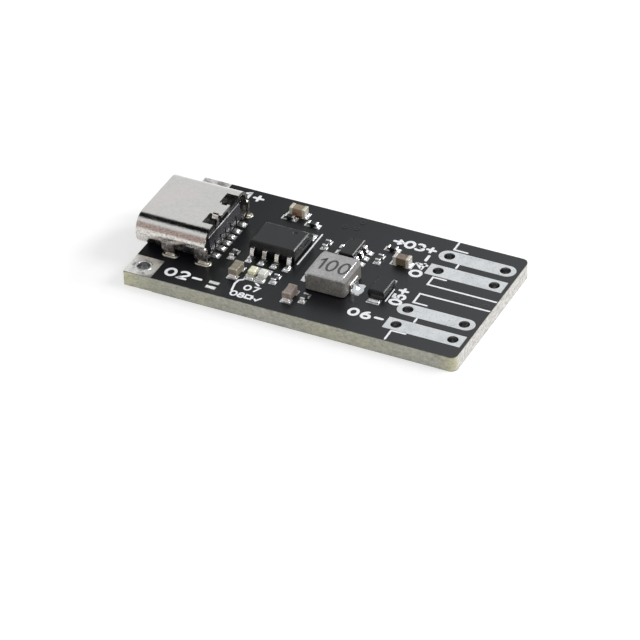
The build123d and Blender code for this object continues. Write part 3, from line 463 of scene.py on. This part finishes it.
def crisp_faces(label, sharp_angle, broken_angle=None, shortest=0.0, only_top=False):
    """A modifier's tree: joins the seams of a mesh and shades it smooth but for its sharp edges.
    With a broken angle it also marks the edges that the bevel after it will break."""
    tree = bpy.data.node_groups.new(label, "GeometryNodeTree")
    for way in ("INPUT", "OUTPUT"):
        tree.interface.new_socket("Geometry", in_out=way, socket_type="NodeSocketGeometry")

    def add(kind, **values):
        node = tree.nodes.new(kind)
        for socket, value in values.items():
            node.inputs[socket.replace("_", " ")].default_value = value
        return node

    def compare(operation, value, limit):
        node = add("FunctionNodeCompare", B=limit)
        node.operation = operation
        tree.links.new(value, node.inputs["A"])
        return node.outputs["Result"]

    def combine(kind, operation, first, second, output):
        node = add(kind)
        node.operation = operation
        tree.links.new(first, node.inputs[0])
        tree.links.new(second, node.inputs[1])
        return node.outputs[output]

    start = add("NodeGroupInput")
    end = add("NodeGroupOutput")
    angle = add("GeometryNodeInputMeshEdgeAngle").outputs["Unsigned Angle"]
    sharp = add("GeometryNodeSetShadeSmooth")
    sharp.domain = "EDGE"
    tree.links.new(compare("LESS_THAN", angle, sharp_angle), sharp.inputs["Shade Smooth"])
    chain = [
        add("GeometryNodeMergeByDistance", Distance=SEAM * MM),
        add("GeometryNodeRemoveAttribute", Name="custom_normal"),
        add("GeometryNodeSetShadeSmooth"),
        sharp,
    ]
    if broken_angle:
        mark = add("GeometryNodeStoreNamedAttribute", Name="bevel_weight_edge")
        mark.data_type = "FLOAT"
        mark.domain = "EDGE"
        ends = add("GeometryNodeInputMeshEdgeVertices").outputs
        first, last = ends["Position 1"], ends["Position 2"]
        length = combine("ShaderNodeVectorMath", "DISTANCE", first, last, "Value")
        bent = compare("GREATER_THAN", angle, broken_angle)
        long_enough = compare("GREATER_THAN", length, shortest * MM)
        marked = combine("ShaderNodeMath", "MULTIPLY", bent, long_enough, 0)
        if only_top:
            box = add("GeometryNodeBoundBox")
            tree.links.new(start.outputs[0], box.inputs["Geometry"])
            place = add("GeometryNodeInputPosition").outputs[0]
            below = combine("ShaderNodeVectorMath", "SUBTRACT", box.outputs["Max"], place, "Vector")
            parts = add("ShaderNodeSeparateXYZ")
            tree.links.new(below, parts.inputs[0])
            near_top = compare("LESS_THAN", parts.outputs["Z"], TOP_DEPTH * MM)
            marked = combine("ShaderNodeMath", "MULTIPLY", marked, near_top, 0)
        tree.links.new(marked, [i for i in mark.inputs if i.name == "Value" and i.enabled][0])
        chain.append(mark)
    before = start.outputs[0]
    for node in chain:
        tree.links.new(before, node.inputs["Geometry"])
        before = node.outputs["Geometry"]
    tree.links.new(before, end.inputs[0])
    return tree


# Moulded bodies get one flat facet along each long edge, and the rest is rounded
SHARP = math.radians(26)
BROKEN = math.radians(34)
FACET = math.radians(20)
LONG_EDGE = 0.3
ROUNDED = crisp_faces("rounded edges", SHARP, BROKEN)
LONG_EDGES = crisp_faces("long edges", SHARP, BROKEN, LONG_EDGE)
TOP_EDGES = crisp_faces("top edges", SHARP, BROKEN, LONG_EDGE, True)
FACETS = crisp_faces("flat facets", FACET)
FACETED = {
    "charger_chip_body": TOP_EDGES,
    "small_chip_body": TOP_EDGES,
    "diode_body": TOP_EDGES,
    "usb_housing": LONG_EDGES,
}
for name, piece in nodes.items():
    faceted = name in FACETED
    for ending, width in BROKEN_EDGES.items():
        if not name.endswith(ending):
            continue
        piece.modifiers.new("crisp", "NODES").node_group = FACETED.get(name, ROUNDED)
        bevel = piece.modifiers.new("broken edges", "BEVEL")
        bevel.width = width * MM
        bevel.limit_method = "WEIGHT"
        bevel.segments = 1 if faceted else 2
        bevel.harden_normals = not faceted
        if faceted:
            piece.modifiers.new("facets", "NODES").node_group = FACETS

# Pieces made here


def finish_piece(name, mesh, material, smooth_angle=None):
    """Turns a bmesh into a piece of the object."""
    bmesh.ops.recalc_face_normals(mesh, faces=mesh.faces)
    data = bpy.data.meshes.new(name)
    mesh.to_mesh(data)
    mesh.free()
    if smooth_angle is not None:
        data.polygons.foreach_set("use_smooth", [True] * len(data.polygons))
        data.set_sharp_from_angle(angle=math.radians(smooth_angle))
    piece = bpy.data.objects.new(name, data)
    bpy.context.scene.collection.objects.link(piece)
    data.materials.append(material)
    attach(piece, "root")
    return piece


def islands(name):
    """The box of each separate solid of a CAD node, in millimetres, from the lowest X and Y on."""
    piece = nodes[name]
    mesh = bmesh.new()
    mesh.from_mesh(piece.data)
    mesh.transform(piece.matrix_world)
    bmesh.ops.remove_doubles(mesh, verts=mesh.verts, dist=SEAM * MM)
    left = set(mesh.verts)
    boxes = []
    while left:
        stack = [left.pop()]
        group = []
        while stack:
            vertex = stack.pop()
            group.append(vertex.co / MM)
            for edge in vertex.link_edges:
                other = edge.other_vert(vertex)
                if other in left:
                    left.remove(other)
                    stack.append(other)
        low = Vector([min(p[i] for p in group) for i in range(3)])
        high = Vector([max(p[i] for p in group) for i in range(3)])
        boxes.append((low, high))
    mesh.free()
    return sorted(boxes, key=lambda box: (round(box[0].x, 2), round(box[0].y, 2)))


def grid_lump(mesh, rows, base, loop=False):
    """A closed lump: rows of points over a flat base. A loop's rows run all the way round."""
    top = [[mesh.verts.new(p * MM) for p in row] for row in rows]
    bottom = [[mesh.verts.new(Vector((p.x, p.y, base)) * MM) for p in row] for row in rows]
    steps, count = len(rows), len(rows[0])
    columns = count if loop else count - 1
    for i in range(steps - 1):
        for j in range(columns):
            k = (j + 1) % count
            mesh.faces.new((top[i][j], top[i + 1][j], top[i + 1][k], top[i][k]))
            mesh.faces.new((bottom[i][j], bottom[i][k], bottom[i + 1][k], bottom[i + 1][j]))
    walls = []
    for i in (0, steps - 1):
        walls += [((i, j), (i, (j + 1) % count)) for j in range(columns)]
    if not loop:
        for j in (0, count - 1):
            walls += [((i, j), (i + 1, j)) for i in range(steps - 1)]
    for (i, j), (k, m) in walls:
        mesh.faces.new((top[i][j], bottom[i][j], bottom[k][m], top[k][m]))


def band(mesh, top, bottom, closed=False):
    """A closed band between two rows of point pairs. A closed row runs all the way round."""
    count = len(top)
    top, bottom = ([[mesh.verts.new(p * MM) for p in pair] for pair in row] for row in (top, bottom))
    for i in range(count if closed else count - 1):
        k = (i + 1) % count
        mesh.faces.new((top[i][0], top[i][1], top[k][1], top[k][0]))
        mesh.faces.new((bottom[i][0], bottom[k][0], bottom[k][1], bottom[i][1]))
        for side in (0, 1):
            mesh.faces.new((top[i][side], bottom[i][side], bottom[k][side], top[k][side]))
    if not closed:
        for i in (0, count - 1):
            mesh.faces.new((top[i][0], bottom[i][0], bottom[i][1], top[i][1]))


def ring(centre, radius, steps, height_at):
    """Points round a hole. height_at gives the height at an angle."""
    angles = [2 * math.pi * k / steps for k in range(steps)]
    x, y = centre
    return [Vector((x + radius * math.cos(a), y + radius * math.sin(a), height_at(a))) for a in angles]


# Solder: fillets at the ends of the parts, in front of the leads and round the socket's legs

SOLDER_BASE = BOARD_TOP - 0.01
SOLDER_SKIN = 0.012


def uneven(x, y, scale, amount):
    """A small steady irregularity, so that no two fillets are alike."""
    return amount * noise.noise(Vector((x * scale, y * scale, 0.7)))


def fillet(mesh, centre, out, width, reach, rise, hollow, steep, peak=0.0, overlap=0.03):
    """A concave fillet against a vertical face. hollow draws its toe in between the corners, steep
    makes its height fall off sooner, and peak gathers that height at the middle of the face."""
    across = Vector((-out.y, out.x, 0))
    rows = []
    steps, columns = 8, 12
    for i in range(steps + 1):
        t = i / steps
        row = []
        for j in range(columns + 1):
            s = 2 * j / columns - 1
            toe = reach * (1 - hollow * (1 - s * s)) + uneven(centre.x + s, centre.y, 1.7, 0.25 * reach)
            half = width / 2 * (0.97 + 0.12 * t)
            side = 1 - abs(s) ** 6
            gather = 1 - peak * (1 - math.exp(-((s / 0.35) ** 2)))
            lift = uneven(centre.x + s, centre.y + t, 2.3, 0.12 * rise)
            height = SOLDER_SKIN + max(0.0, (rise + lift) * (1 - t) ** steep * side * gather)
            spread = 1 - 0.25 * t * (1 - hollow) * s * s
            point = centre + out * (toe * t * spread - overlap) + across * (s * half)
            row.append(Vector((point.x, point.y, BOARD_TOP + height)))
        rows.append(row)
    grid_lump(mesh, rows, SOLDER_BASE)


def ends_of(name):
    """Both ends of a small part: the middle of the end face, the way out of it, width and height."""
    low_box, high_box = islands(name)
    centre = (low_box[0] + high_box[1]) / 2
    found = []
    for low, high in (low_box, high_box):
        middle = (low + high) / 2
        offset = middle - centre
        axis = X if abs(offset.x) > abs(offset.y) else Y
        out = Vector((0, 0, 0))
        out[axis] = math.copysign(1, offset[axis])
        half = (high - low) / 2
        face = middle + out * half[axis]
        found.append((Vector((face.x, face.y, 0)), out, 2 * half[1 - axis], high.z - BOARD_TOP))
    return found


# How the node's name ends, and its fillets: width as a share of the part's, reach, height as a
# share of the part's, hollow, steepness and peak
END_FILLETS = {
    "_capacitor_ends": (1.06, 0.36, 0.45, 0.5, 2.0, 0.0),
    "_resistor_ends": (1.15, 0.30, 0.8, 0.45, 1.8, 0.0),
    "_led_ends": (1.02, 0.30, 0.9, 0.55, 1.7, 0.0),
    "diode_leads": (1.1, 0.35, 1.1, 0.35, 1.5, 0.0),
    "inductor_terminals": (1.0, 0.78, 0.95, -0.12, 2.4, 0.75),
}
end_mesh = bmesh.new()
for name in nodes:
    for ending, (wide, reach, tall, hollow, steep, peak) in END_FILLETS.items():
        if name.endswith(ending):
            for face, out, width, height in ends_of(name):
                fillet(end_mesh, face, out, width * wide, reach, tall * height, hollow, steep, peak)
end_solder = finish_piece("end_solder", end_mesh, FINISHES["solder"], smooth_angle=60)
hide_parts("component_solder")

# The leads' nodes, the axis that each lead points along, and its fillet's width as a share of its own
LEADS = {"charger_chip_leads": (Y, 1.35), "small_chip_leads": (X, 1.35), "usb_contacts": (X, 1.08)}
# How far behind its tip a lead has solder on both sides
SIDE_SETBACK = 0.22
lead_mesh = bmesh.new()
for name, (axis, wide) in LEADS.items():
    of_socket = name == "usb_contacts"
    boxes = islands(name)
    centre = sum(((low + high) / 2 for low, high in boxes), Vector()) / len(boxes)
    for low, high in boxes:
        middle = (low + high) / 2
        out = Vector((0, 0, 0))
        out[axis] = 1 if of_socket else math.copysign(1, middle[axis] - centre[axis])
        tip = Vector((middle.x, middle.y, 0))
        tip[axis] = high[axis] if out[axis] > 0 else low[axis]
        width = high[1 - axis] - low[1 - axis]
        fillet(lead_mesh, tip, out, width * wide, 0.29, 0.24, hollow=0.6, steep=1.5, overlap=0.08)
        if of_socket:
            continue
        beside = Vector((-out.y, out.x, 0))
        for side in (-1, 1):
            foot = tip - out * SIDE_SETBACK + beside * side * width / 2
            fillet(lead_mesh, foot, beside * side, 0.46, 0.15, 0.17, hollow=0.2, steep=1.4, overlap=0.02)
toe_solder = finish_piece("toe_solder", lead_mesh, FINISHES["solder"], smooth_angle=60)
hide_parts("lead_solder")


def stadium(length, width, share):
    """A point on a slot's outline, at a share of the way round."""
    angle = 2 * math.pi * share
    straight = (length - width) / 2
    shift = math.copysign(straight, math.cos(angle)) * min(1, 3 * abs(math.cos(angle)))
    return Vector((math.cos(angle) * width / 2 + shift, math.sin(angle) * width / 2, 0))


LEG_SIZE = (0.80, 0.26)
COLLAR_RIM, COLLAR_DIP, COLLAR_CLIMB = 0.10, 0.06, 0.26


def leg_collar(mesh, centre, land, leg):
    """Solder that fills a slot round a leg: a raised rim, a hollow, and a climb up the leg."""
    steps, count = 10, 36
    rows = []
    for i in range(steps + 1):
        t = i / steps
        row = []
        for j in range(count):
            outer = stadium(land[0], land[1], j / count)
            inner = stadium(leg[0], leg[1], j / count)
            point = centre + outer.lerp(inner, t)
            rim = COLLAR_RIM * math.sin(min(1, t / 0.35) * math.pi / 2)
            dip = -COLLAR_DIP * math.sin(math.pi * min(1, max(0, (t - 0.3) / 0.6)))
            climb = COLLAR_CLIMB * max(0, t - 0.55) ** 1.5 / 0.45 ** 1.5
            lift = uneven(point.x * 1.3, point.y * 1.3, 1.9, 0.03) * math.sin(math.pi * t)
            row.append(Vector((point.x, point.y, BOARD_TOP + SOLDER_SKIN + rim + dip + climb + lift)))
        rows.append(row)
    grid_lump(mesh, rows, SOLDER_BASE, loop=True)


collar_mesh = bmesh.new()
for low, high in islands("leg_solder"):
    centre = (low + high) / 2
    land = (high.x - low.x, high.y - low.y)
    leg_collar(collar_mesh, Vector((centre.x, centre.y, 0)), land, LEG_SIZE)
LEG_SOLDER = plated("leg solder", (0.46, 0.44, 0.37), 0.22, 0.06, 2.8)
collars = finish_piece("leg_collars", collar_mesh, LEG_SOLDER, smooth_angle=60)
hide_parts("leg_solder")

# Print on the board: lines, numbers and signs, raised by the thickness of the ink

INK_HEIGHT = 0.012
WHITE_INK = ink("white board print", (0.93, 0.94, 0.96))
LINE_STEP = 0.09
# How far the width of a line wavers, as a share of it
RAGGED = 0.10


def resampled(points, closed):
    """The same line with points at even small steps."""
    places = []
    count = len(points)
    for i in range(count if closed else count - 1):
        start, end = Vector(points[i]), Vector(points[(i + 1) % count])
        pieces = max(1, round((end - start).length / LINE_STEP))
        places += [start.lerp(end, k / pieces) for k in range(pieces)]
    if not closed:
        places.append(Vector(points[-1]))
    return places


def stroke(mesh, points, width, low, high, closed=False, place=Matrix.Identity(4)):
    """A line of ink: a flat band whose width wavers a little, mitred at its corners."""
    centre_line = resampled(points, closed)
    count = len(centre_line)
    left, right = [], []
    for i, point in enumerate(centre_line):
        before = centre_line[i - 1] if closed or i > 0 else point
        after = centre_line[(i + 1) % count] if closed or i < count - 1 else point
        back, ahead = (point - before), (after - point)
        back = back.normalized() if back.length else ahead.normalized()
        ahead = ahead.normalized() if ahead.length else back
        along = (back + ahead).normalized()
        across = Vector((-along.y, along.x))
        half = width / 2 * (1 + RAGGED * noise.noise(Vector((3 * point.x, 3 * point.y, width))))
        reach = half / max(0.6, across.dot(Vector((-ahead.y, ahead.x))))
        left.append(point + across * reach)
        right.append(point - across * reach)
    if not closed:
        for i, near in ((0, centre_line[1]), (count - 1, centre_line[-2])):
            outward = (centre_line[i] - near).normalized()
            for side, other in ((left, right), (right, left)):
                side[i] = side[i].lerp((side[i] + other[i]) / 2, 0.35) + outward * width * 0.18

    def level(height):
        return [[place @ Vector((p.x, p.y, height)) for p in pair] for pair in zip(left, right)]

    band(mesh, level(high), level(low), closed)


def arc(centre, radii, start, end, steps=10):
    """Points on part of an ellipse, its angles in degrees."""
    places = []
    for i in range(steps + 1):
        angle = math.radians(start + (end - start) * i / steps)
        places.append((centre[0] + radii[0] * math.cos(angle), centre[1] + radii[1] * math.sin(angle)))
    return places


# Each sign's width and its lines, open or closed, in a box one unit high
SIGNS = {
    "0": (0.70, [(arc((0.35, 0.5), (0.35, 0.5), 0, 342, 19), True)]),
    "1": (0.42, [([(0.0, 0.78), (0.34, 1.0), (0.34, 0.0)], False)]),
    "2": (0.66, [(arc((0.32, 0.70), (0.32, 0.30), 165, -35) + [(0.0, 0.0), (0.66, 0.0)], False)]),
    "3": (0.62, [
        (arc((0.28, 0.76), (0.28, 0.24), 150, -90) + arc((0.28, 0.26), (0.34, 0.26), 90, -150), False),
    ]),
    "4": (0.72, [([(0.52, 0.0), (0.52, 1.0), (0.0, 0.32), (0.72, 0.32)], False)]),
    "5": (0.62, [
        ([(0.58, 1.0), (0.10, 1.0), (0.06, 0.58)] + arc((0.28, 0.31), (0.34, 0.31), 125, -150), False),
    ]),
    "6": (0.64, [
        (arc((0.32, 0.30), (0.32, 0.30), 0, 340, 17), True),
        (arc((0.62, 0.32), (0.62, 0.70), 105, 178, 6), False),
    ]),
    "7": (0.62, [([(0.0, 1.0), (0.62, 1.0), (0.24, 0.0)], False)]),
    "8": (0.66, [
        (arc((0.33, 0.74), (0.26, 0.24), 0, 340, 15), True),
        (arc((0.33, 0.26), (0.33, 0.27), 0, 340, 15), True),
    ]),
    "plus": (0.80, [([(0.0, 0.5), (0.80, 0.5)], False), ([(0.40, 0.06), (0.40, 0.94)], False)]),
    "minus": (0.70, [([(0.0, 0.5), (0.70, 0.5)], False)]),
    "arrow": (0.80, [
        ([(0.0, 0.5), (0.74, 0.5)], False),
        ([(0.44, 0.86), (0.80, 0.5), (0.44, 0.14)], False),
    ]),
    "cell": (0.86, [
        ([(0.0, 0.12), (0.70, 0.12), (0.70, 0.88), (0.0, 0.88)], True),
        ([(0.86, 0.36), (0.86, 0.64)], False),
    ]),
    "check": (0.70, [([(0.0, 0.42), (0.26, 0.08), (0.70, 0.92)], False)]),
}


# Each line of a row lies this much higher than the one before, so that crossing lines share no face
LAYER = 0.0004


def write_signs(mesh, names, start, size, gap, width, low, high, stretch, turned=False):
    """A row of signs from its lower left corner on. Turned ones read along Y, their heads towards
    the socket."""
    quarter = Matrix.Rotation(math.pi / 2, 4, "Z") if turned else Matrix.Identity(4)
    place = Matrix.Translation((start[0], start[1], 0)) @ quarter
    pen = 0.0
    layer = 0
    for name in names:
        wide, lines = SIGNS[name]
        for points, closed in lines:
            scaled = [(pen + x * size * stretch, y * size) for x, y in points]
            stroke(mesh, scaled, width, low, high + LAYER * layer, closed, place)
            layer += 1
        pen += wide * size * stretch + gap


BOLD = 0.29
LINE = 0.2
SMALL = 0.18
THIN = 0.13
PRINT_LOW = BOARD_TOP - 0.006
PRINT_HIGH = BOARD_TOP + INK_HEIGHT
WIDE = 1.25
NARROW = 0.95
# The signs, where they start, their height, the gap between them, their line, their stretch and
# whether they are turned
MARKS = {
    "input_ground_mark": (("0", "2", "minus"), (-13.10, -7.32), 1.05, 0.46, BOLD, WIDE, False),
    "input_plus_mark": (("1", "plus"), (-12.05, 6.68), 1.05, 0.40, BOLD, WIDE, False),
    "output_plus_mark": (("arrow", "0", "3", "plus"), (4.02, 5.64), 0.97, 0.26, BOLD, WIDE, False),
    "output_ground_mark": (("0", "4", "minus"), (8.56, 1.72), 1.03, 0.40, BOLD, WIDE, True),
    "battery_plus_mark": (("0", "5", "plus"), (8.78, -3.02), 1.05, 0.24, BOLD, NARROW, True),
    "battery_ground_mark": (("0", "6", "minus"), (5.0, -6.08), 0.97, 0.46, BOLD, WIDE, False),
    "charging_mark": (("0", "7"), (-5.36, -6.52), 0.70, 0.24, SMALL, WIDE, False),
    "charged_mark": (("0", "8", "cell", "check"), (-6.15, -7.76), 0.66, 0.20, SMALL, WIDE, False),
}
for name, (signs, start, size, gap, width, stretch, turned) in MARKS.items():
    ink_mesh = bmesh.new()
    write_signs(ink_mesh, signs, start, size, gap, width, PRINT_LOW, PRINT_HIGH, stretch, turned)
    finish_piece(name, ink_mesh, WHITE_INK)

OUTLINES = {
    "output_outline": [
        ([(9.72, 8.3), (9.74, 7.06), (11.15, 7.04)], LINE),
        ([(11.12, 5.02), (11.12, 4.38)], LINE),
        ([(11.12, 2.28), (9.78, 2.27), (9.78, 1.03), (16.72, 1.02)], LINE),
    ],
    "battery_outline": [
        ([(16.72, -0.53), (9.77, -0.57), (9.78, -2.05), (11.15, -2.05)], LINE),
        ([(11.13, -4.18), (11.13, -4.86)], LINE),
        ([(11.22, -6.79), (9.77, -6.82), (9.79, -8.26)], LINE),
    ],
    "charger_chip_line": [([(-2.5, -1.0), (-2.5, 4.34)], 0.16)],
    "diode_line": [([(7.38, -2.95), (7.36, -0.9)], THIN)],
    "led_bracket": [
        ([(-6.21, -7.17), (-6.44, -6.03), (-6.35, -5.42), (-5.95, -5.15)], LINE),
        ([(-4.72, -5.2), (-4.23, -5.5)], LINE),
    ],
}
for name, lines in OUTLINES.items():
    ink_mesh = bmesh.new()
    for points, width in lines:
        stroke(ink_mesh, points, width, PRINT_LOW, PRINT_HIGH)
    finish_piece(name, ink_mesh, WHITE_INK)

# The inductor's number: dark strokes, nearly flush with its top
inductor_low, inductor_high = islands("inductor_body")[0]
NUMBER_LOW = inductor_high.z - 0.05
NUMBER_HIGH = inductor_high.z + 0.006
NUMBER_STRETCH = 0.72
NUMBER_TONE = moulded("number shade", (0.075, 0.073, 0.069), 0.5, 5, 0.04)
number_mesh = bmesh.new()
write_signs(
    number_mesh, ("1", "0", "0"), (0.42, -3.15), 1.65, 0.40, 0.24, NUMBER_LOW, NUMBER_HIGH, NUMBER_STRETCH
)
finish_piece("inductor_number", number_mesh, NUMBER_TONE)

# A painted highlight: a thin shiny metal strip laid along the right side of the inductor's top rim to
# catch the light
BEVEL_RUN, BEVEL_DROP = 0.4, 0.3
RIM_WIDTH = 0.042
RIM_DEPTH = 0.04
RIM_MARGIN = 0.55
RIM_INSET = 0.05
RIM_LIFT = 0.006
RIM_STEPS = 40
rim_length = inductor_high.y - inductor_low.y - 2 * RIM_MARGIN
rim_top = []
for i in range(RIM_STEPS + 1):
    y = inductor_low.y + RIM_MARGIN + rim_length * i / RIM_STEPS
    half = RIM_WIDTH / 2 * (0.75 + 0.6 * noise.noise(Vector((0.3, y * 2.1, 4.0))))
    pair = []
    for side in (-1, 1):
        x = inductor_high.x - BEVEL_RUN + RIM_INSET + side * half
        z = inductor_high.z - BEVEL_DROP * max(0.0, x - inductor_high.x + BEVEL_RUN) / BEVEL_RUN
        pair.append(Vector((x, y, z + RIM_LIFT)))
    rim_top.append(pair)
highlight_strip_mesh = bmesh.new()
band(highlight_strip_mesh, rim_top, [[p - Vector((0, 0, RIM_DEPTH)) for p in pair] for pair in rim_top])
HIGHLIGHT_METAL = plated("highlight strip metal", (0.5, 0.5, 0.5), 0.34, 0.01, 3.0)
finish_piece("inductor_highlight_strip", highlight_strip_mesh, HIGHLIGHT_METAL)

# The housing's ledge goes on between the socket's two tabs
LEDGE_HALF = 1.44
LEDGE_SECTION = ((-10.74, 3.54), (-10.515, 3.54), (-10.52, 3.59), (-10.58, 3.65), (-10.74, 3.65))
ledge_mesh = bmesh.new()
near_end, far_end = (
    [ledge_mesh.verts.new(Vector((x, y, z)) * MM) for x, z in LEDGE_SECTION]
    for y in (-LEDGE_HALF, LEDGE_HALF)
)
ledge_mesh.faces.new(near_end)
ledge_mesh.faces.new(far_end)
for i in range(len(LEDGE_SECTION)):
    k = (i + 1) % len(LEDGE_SECTION)
    ledge_mesh.faces.new((near_end[i], near_end[k], far_end[k], far_end[i]))
finish_piece("housing_ledge", ledge_mesh, FINISHES["housing_plastic"])

# Covered vias: small rings that the mask has sunk into
VIAS = [(13.12, 0.11), (14.62, 0.09), (16.08, 0.06), (-1.11, 6.29), (0.15, 7.56), (0.06, 6.45)]
VIA_RADIUS = 0.34
VIA_PROFILE = ((1.0, 0.0), (0.82, 0.020), (0.62, 0.026), (0.45, 0.014), (0.25, 0.004), (0.06, 0.002))
VIA_STEPS = 24
# Rings stand a hair above the face that they lie on, and reach a little into it
CLEAR = 0.002
VIA_SUNK = 0.008
HOLE_SUNK = 0.01
via_mesh = bmesh.new()
for via in VIAS:
    rings = [
        ring(via, VIA_RADIUS * share, VIA_STEPS, lambda angle: BOARD_TOP + CLEAR + height)
        for share, height in VIA_PROFILE
    ]
    grid_lump(via_mesh, rings, BOARD_TOP - VIA_SUNK, loop=True)
finish_piece("covered_vias", via_mesh, FINISHES["solder_mask"], smooth_angle=70)

# The solder rim round the hole of each corner pad
RIM_PROFILE = ((0.86, 0.0), (0.80, 0.035), (0.73, 0.045), (0.665, 0.02), (0.64, 0.0))
HOLE_STEPS = 40
CORNER_HOLES = [(-15.385, -6.935), (-15.385, 6.935)]
RIM_TOP = max(high.z for low, high in islands("input_ground_pad"))


def rim_height(angle, height, y):
    """The height of a solder rim at an angle, a little uneven round the hole at that y."""
    return RIM_TOP + CLEAR + height * (
        1 + 0.5 * noise.noise(Vector((2 * math.cos(angle), 2 * math.sin(angle), y)))
    )


rim_mesh = bmesh.new()
for hole in CORNER_HOLES:
    rings = [
        ring(hole, radius, HOLE_STEPS, lambda angle: rim_height(angle, height, hole[1]))
        for radius, height in RIM_PROFILE
    ]
    grid_lump(rim_mesh, rings, RIM_TOP - HOLE_SUNK, loop=True)
finish_piece("hole_rims", rim_mesh, FINISHES["solder"], smooth_angle=70)

# The stage: floor, world, lamps and camera

FLOOR_SIZE = 3.0
FLOOR_GAP = 0.02
FLOOR_TONE = (0.64, 0.64, 0.64)
FLOOR_GLOW = 0.48
bpy.ops.mesh.primitive_plane_add(size=FLOOR_SIZE, location=(0, 0, -FLOOR_GAP * MM))
floor = bpy.context.object
floor.name = "floor"
floor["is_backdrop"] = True
paper = bpy.data.materials.new("floor paper")
sheet = Graph(paper)
diffuse = sheet.add("ShaderNodeBsdfDiffuse")
sheet.feed(diffuse.inputs["Color"], FLOOR_TONE)
glow = sheet.add("ShaderNodeEmission")
rays = sheet.add("ShaderNodeLightPath").outputs
seen = sheet.math("MAXIMUM", rays["Is Camera Ray"], rays["Is Glossy Ray"])
sheet.feed(glow.inputs["Strength"], sheet.math("MULTIPLY", seen, FLOOR_GLOW))
both = sheet.add("ShaderNodeAddShader")
sheet.join(diffuse.outputs[0], both.inputs[0])
sheet.join(glow.outputs[0], both.inputs[1])
sheet.join(both.outputs[0], sheet.add("ShaderNodeOutputMaterial").inputs["Surface"])
floor.data.materials.append(paper)

world = bpy.data.worlds.new("studio")
bpy.context.scene.world = world
sky = Graph(world)
rays = sky.add("ShaderNodeLightPath").outputs
direction = sky.add("ShaderNodeTexCoord").outputs["Generated"]


def backdrop(colour, strength):
    node = sky.add("ShaderNodeBackground")
    sky.feed(node.inputs["Color"], colour)
    sky.feed(node.inputs["Strength"], strength)
    return node.outputs[0]


def choose(switch, otherwise, chosen):
    """The chosen backdrop where the switch is on, and the other elsewhere."""
    node = sky.add("ShaderNodeMixShader")
    for socket, source in zip(node.inputs, (switch, otherwise, chosen)):
        sky.join(source, socket)
    return node.outputs[0]


# What metal sees: a pale room with a dark gap overhead, and in front a rosy wall
DARK_GAP = Vector((-0.36, 0.06, 0.93)).normalized()
PALE = (0.955, 0.98, 1.0)
ROSE = (0.60, 0.47, 0.44)
dot = sky.add("ShaderNodeVectorMath", "DOT_PRODUCT")
sky.join(direction, dot.inputs[0])
dot.inputs[1].default_value = DARK_GAP
overhead = sky.ramp(dot.outputs["Value"], (0.926, 1.0), (0.948, 0.0))
# A ramp runs from zero to one, so the part of a direction, from minus one to one, is mapped to that
upward = sky.span(sky.part(direction, Z), 0.0, 1.0, -1.0, 1.0)
height_band = sky.ramp(upward, (0.36, 0.0), (0.40, 1.0), (0.78, 1.0), (0.83, 0.0))
ahead = sky.span(sky.part(direction, Y), 0.0, 1.0, -0.22, -0.36)
sideways = sky.span(sky.part(direction, X), 0.0, 1.0, -1.0, 1.0)
left_band = sky.ramp(sideways, (0.20, 0.0), (0.26, 1.0), (0.37, 1.0), (0.43, 0.0))
in_front = sky.mix(1.0, sky.mix(1.0, height_band, ahead, "MULTIPLY"), left_band, "MULTIPLY")
walls = sky.mix(in_front, PALE, ROSE)
room = backdrop(sky.mix(1.0, walls, overhead, "MULTIPLY"), 0.82)
soft = backdrop((0.97, 0.98, 1.0), 0.50)
white = backdrop((1, 1, 1), 1.0)
lit = choose(rays["Is Glossy Ray"], soft, room)
seen = choose(rays["Is Camera Ray"], lit, white)
sky.join(seen, sky.add("ShaderNodeOutputWorld").inputs["Surface"])


def softbox(name, place, size, power):
    """A lamp that points at the middle of the object."""
    data = bpy.data.lights.new(name, "AREA")
    data.shape = "RECTANGLE"
    data.size, data.size_y = size
    data.energy = power
    lamp = bpy.data.objects.new(name, data)
    bpy.context.scene.collection.objects.link(lamp)
    lamp.location = place
    lamp.rotation_mode = "QUATERNION"
    lamp.rotation_quaternion = (-Vector(place)).to_track_quat("-Z", "Y")


softbox("key", (0.34, 0.14, 0.30), (0.20, 0.20), 0.95)
softbox("rim", (0.236, 0.322, 0.196), (0.10, 0.13), 0.72)
softbox("front", (0.16, -0.42, 0.24), (0.30, 0.20), 0.40)

# The camera, in millimetres, and the three directions of its picture
CAMERA_PLACE = Vector((146.876, -293.733, 233.682))
CAMERA_LENS = 245.1
RIGHT = Vector((0.900147, 0.435050, -0.021625))
DOWN = Vector((0.239866, -0.536516, -0.809082))
FORWARD = Vector((-0.363593, 0.723106, -0.587297))
camera_data = bpy.data.cameras.new("camera")
camera_data.sensor_width = 36.0
camera_data.lens = CAMERA_LENS
camera_data.clip_start = 0.01
camera_data.clip_end = 10.0
camera = bpy.data.objects.new("camera", camera_data)
bpy.context.scene.collection.objects.link(camera)
turn = Matrix((RIGHT, -DOWN, -FORWARD)).transposed().to_4x4()
camera.matrix_world = Matrix.Translation(CAMERA_PLACE * MM) @ turn
bpy.context.scene.camera = camera
bpy.context.scene.view_settings.view_transform = "Standard"

low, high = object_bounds()
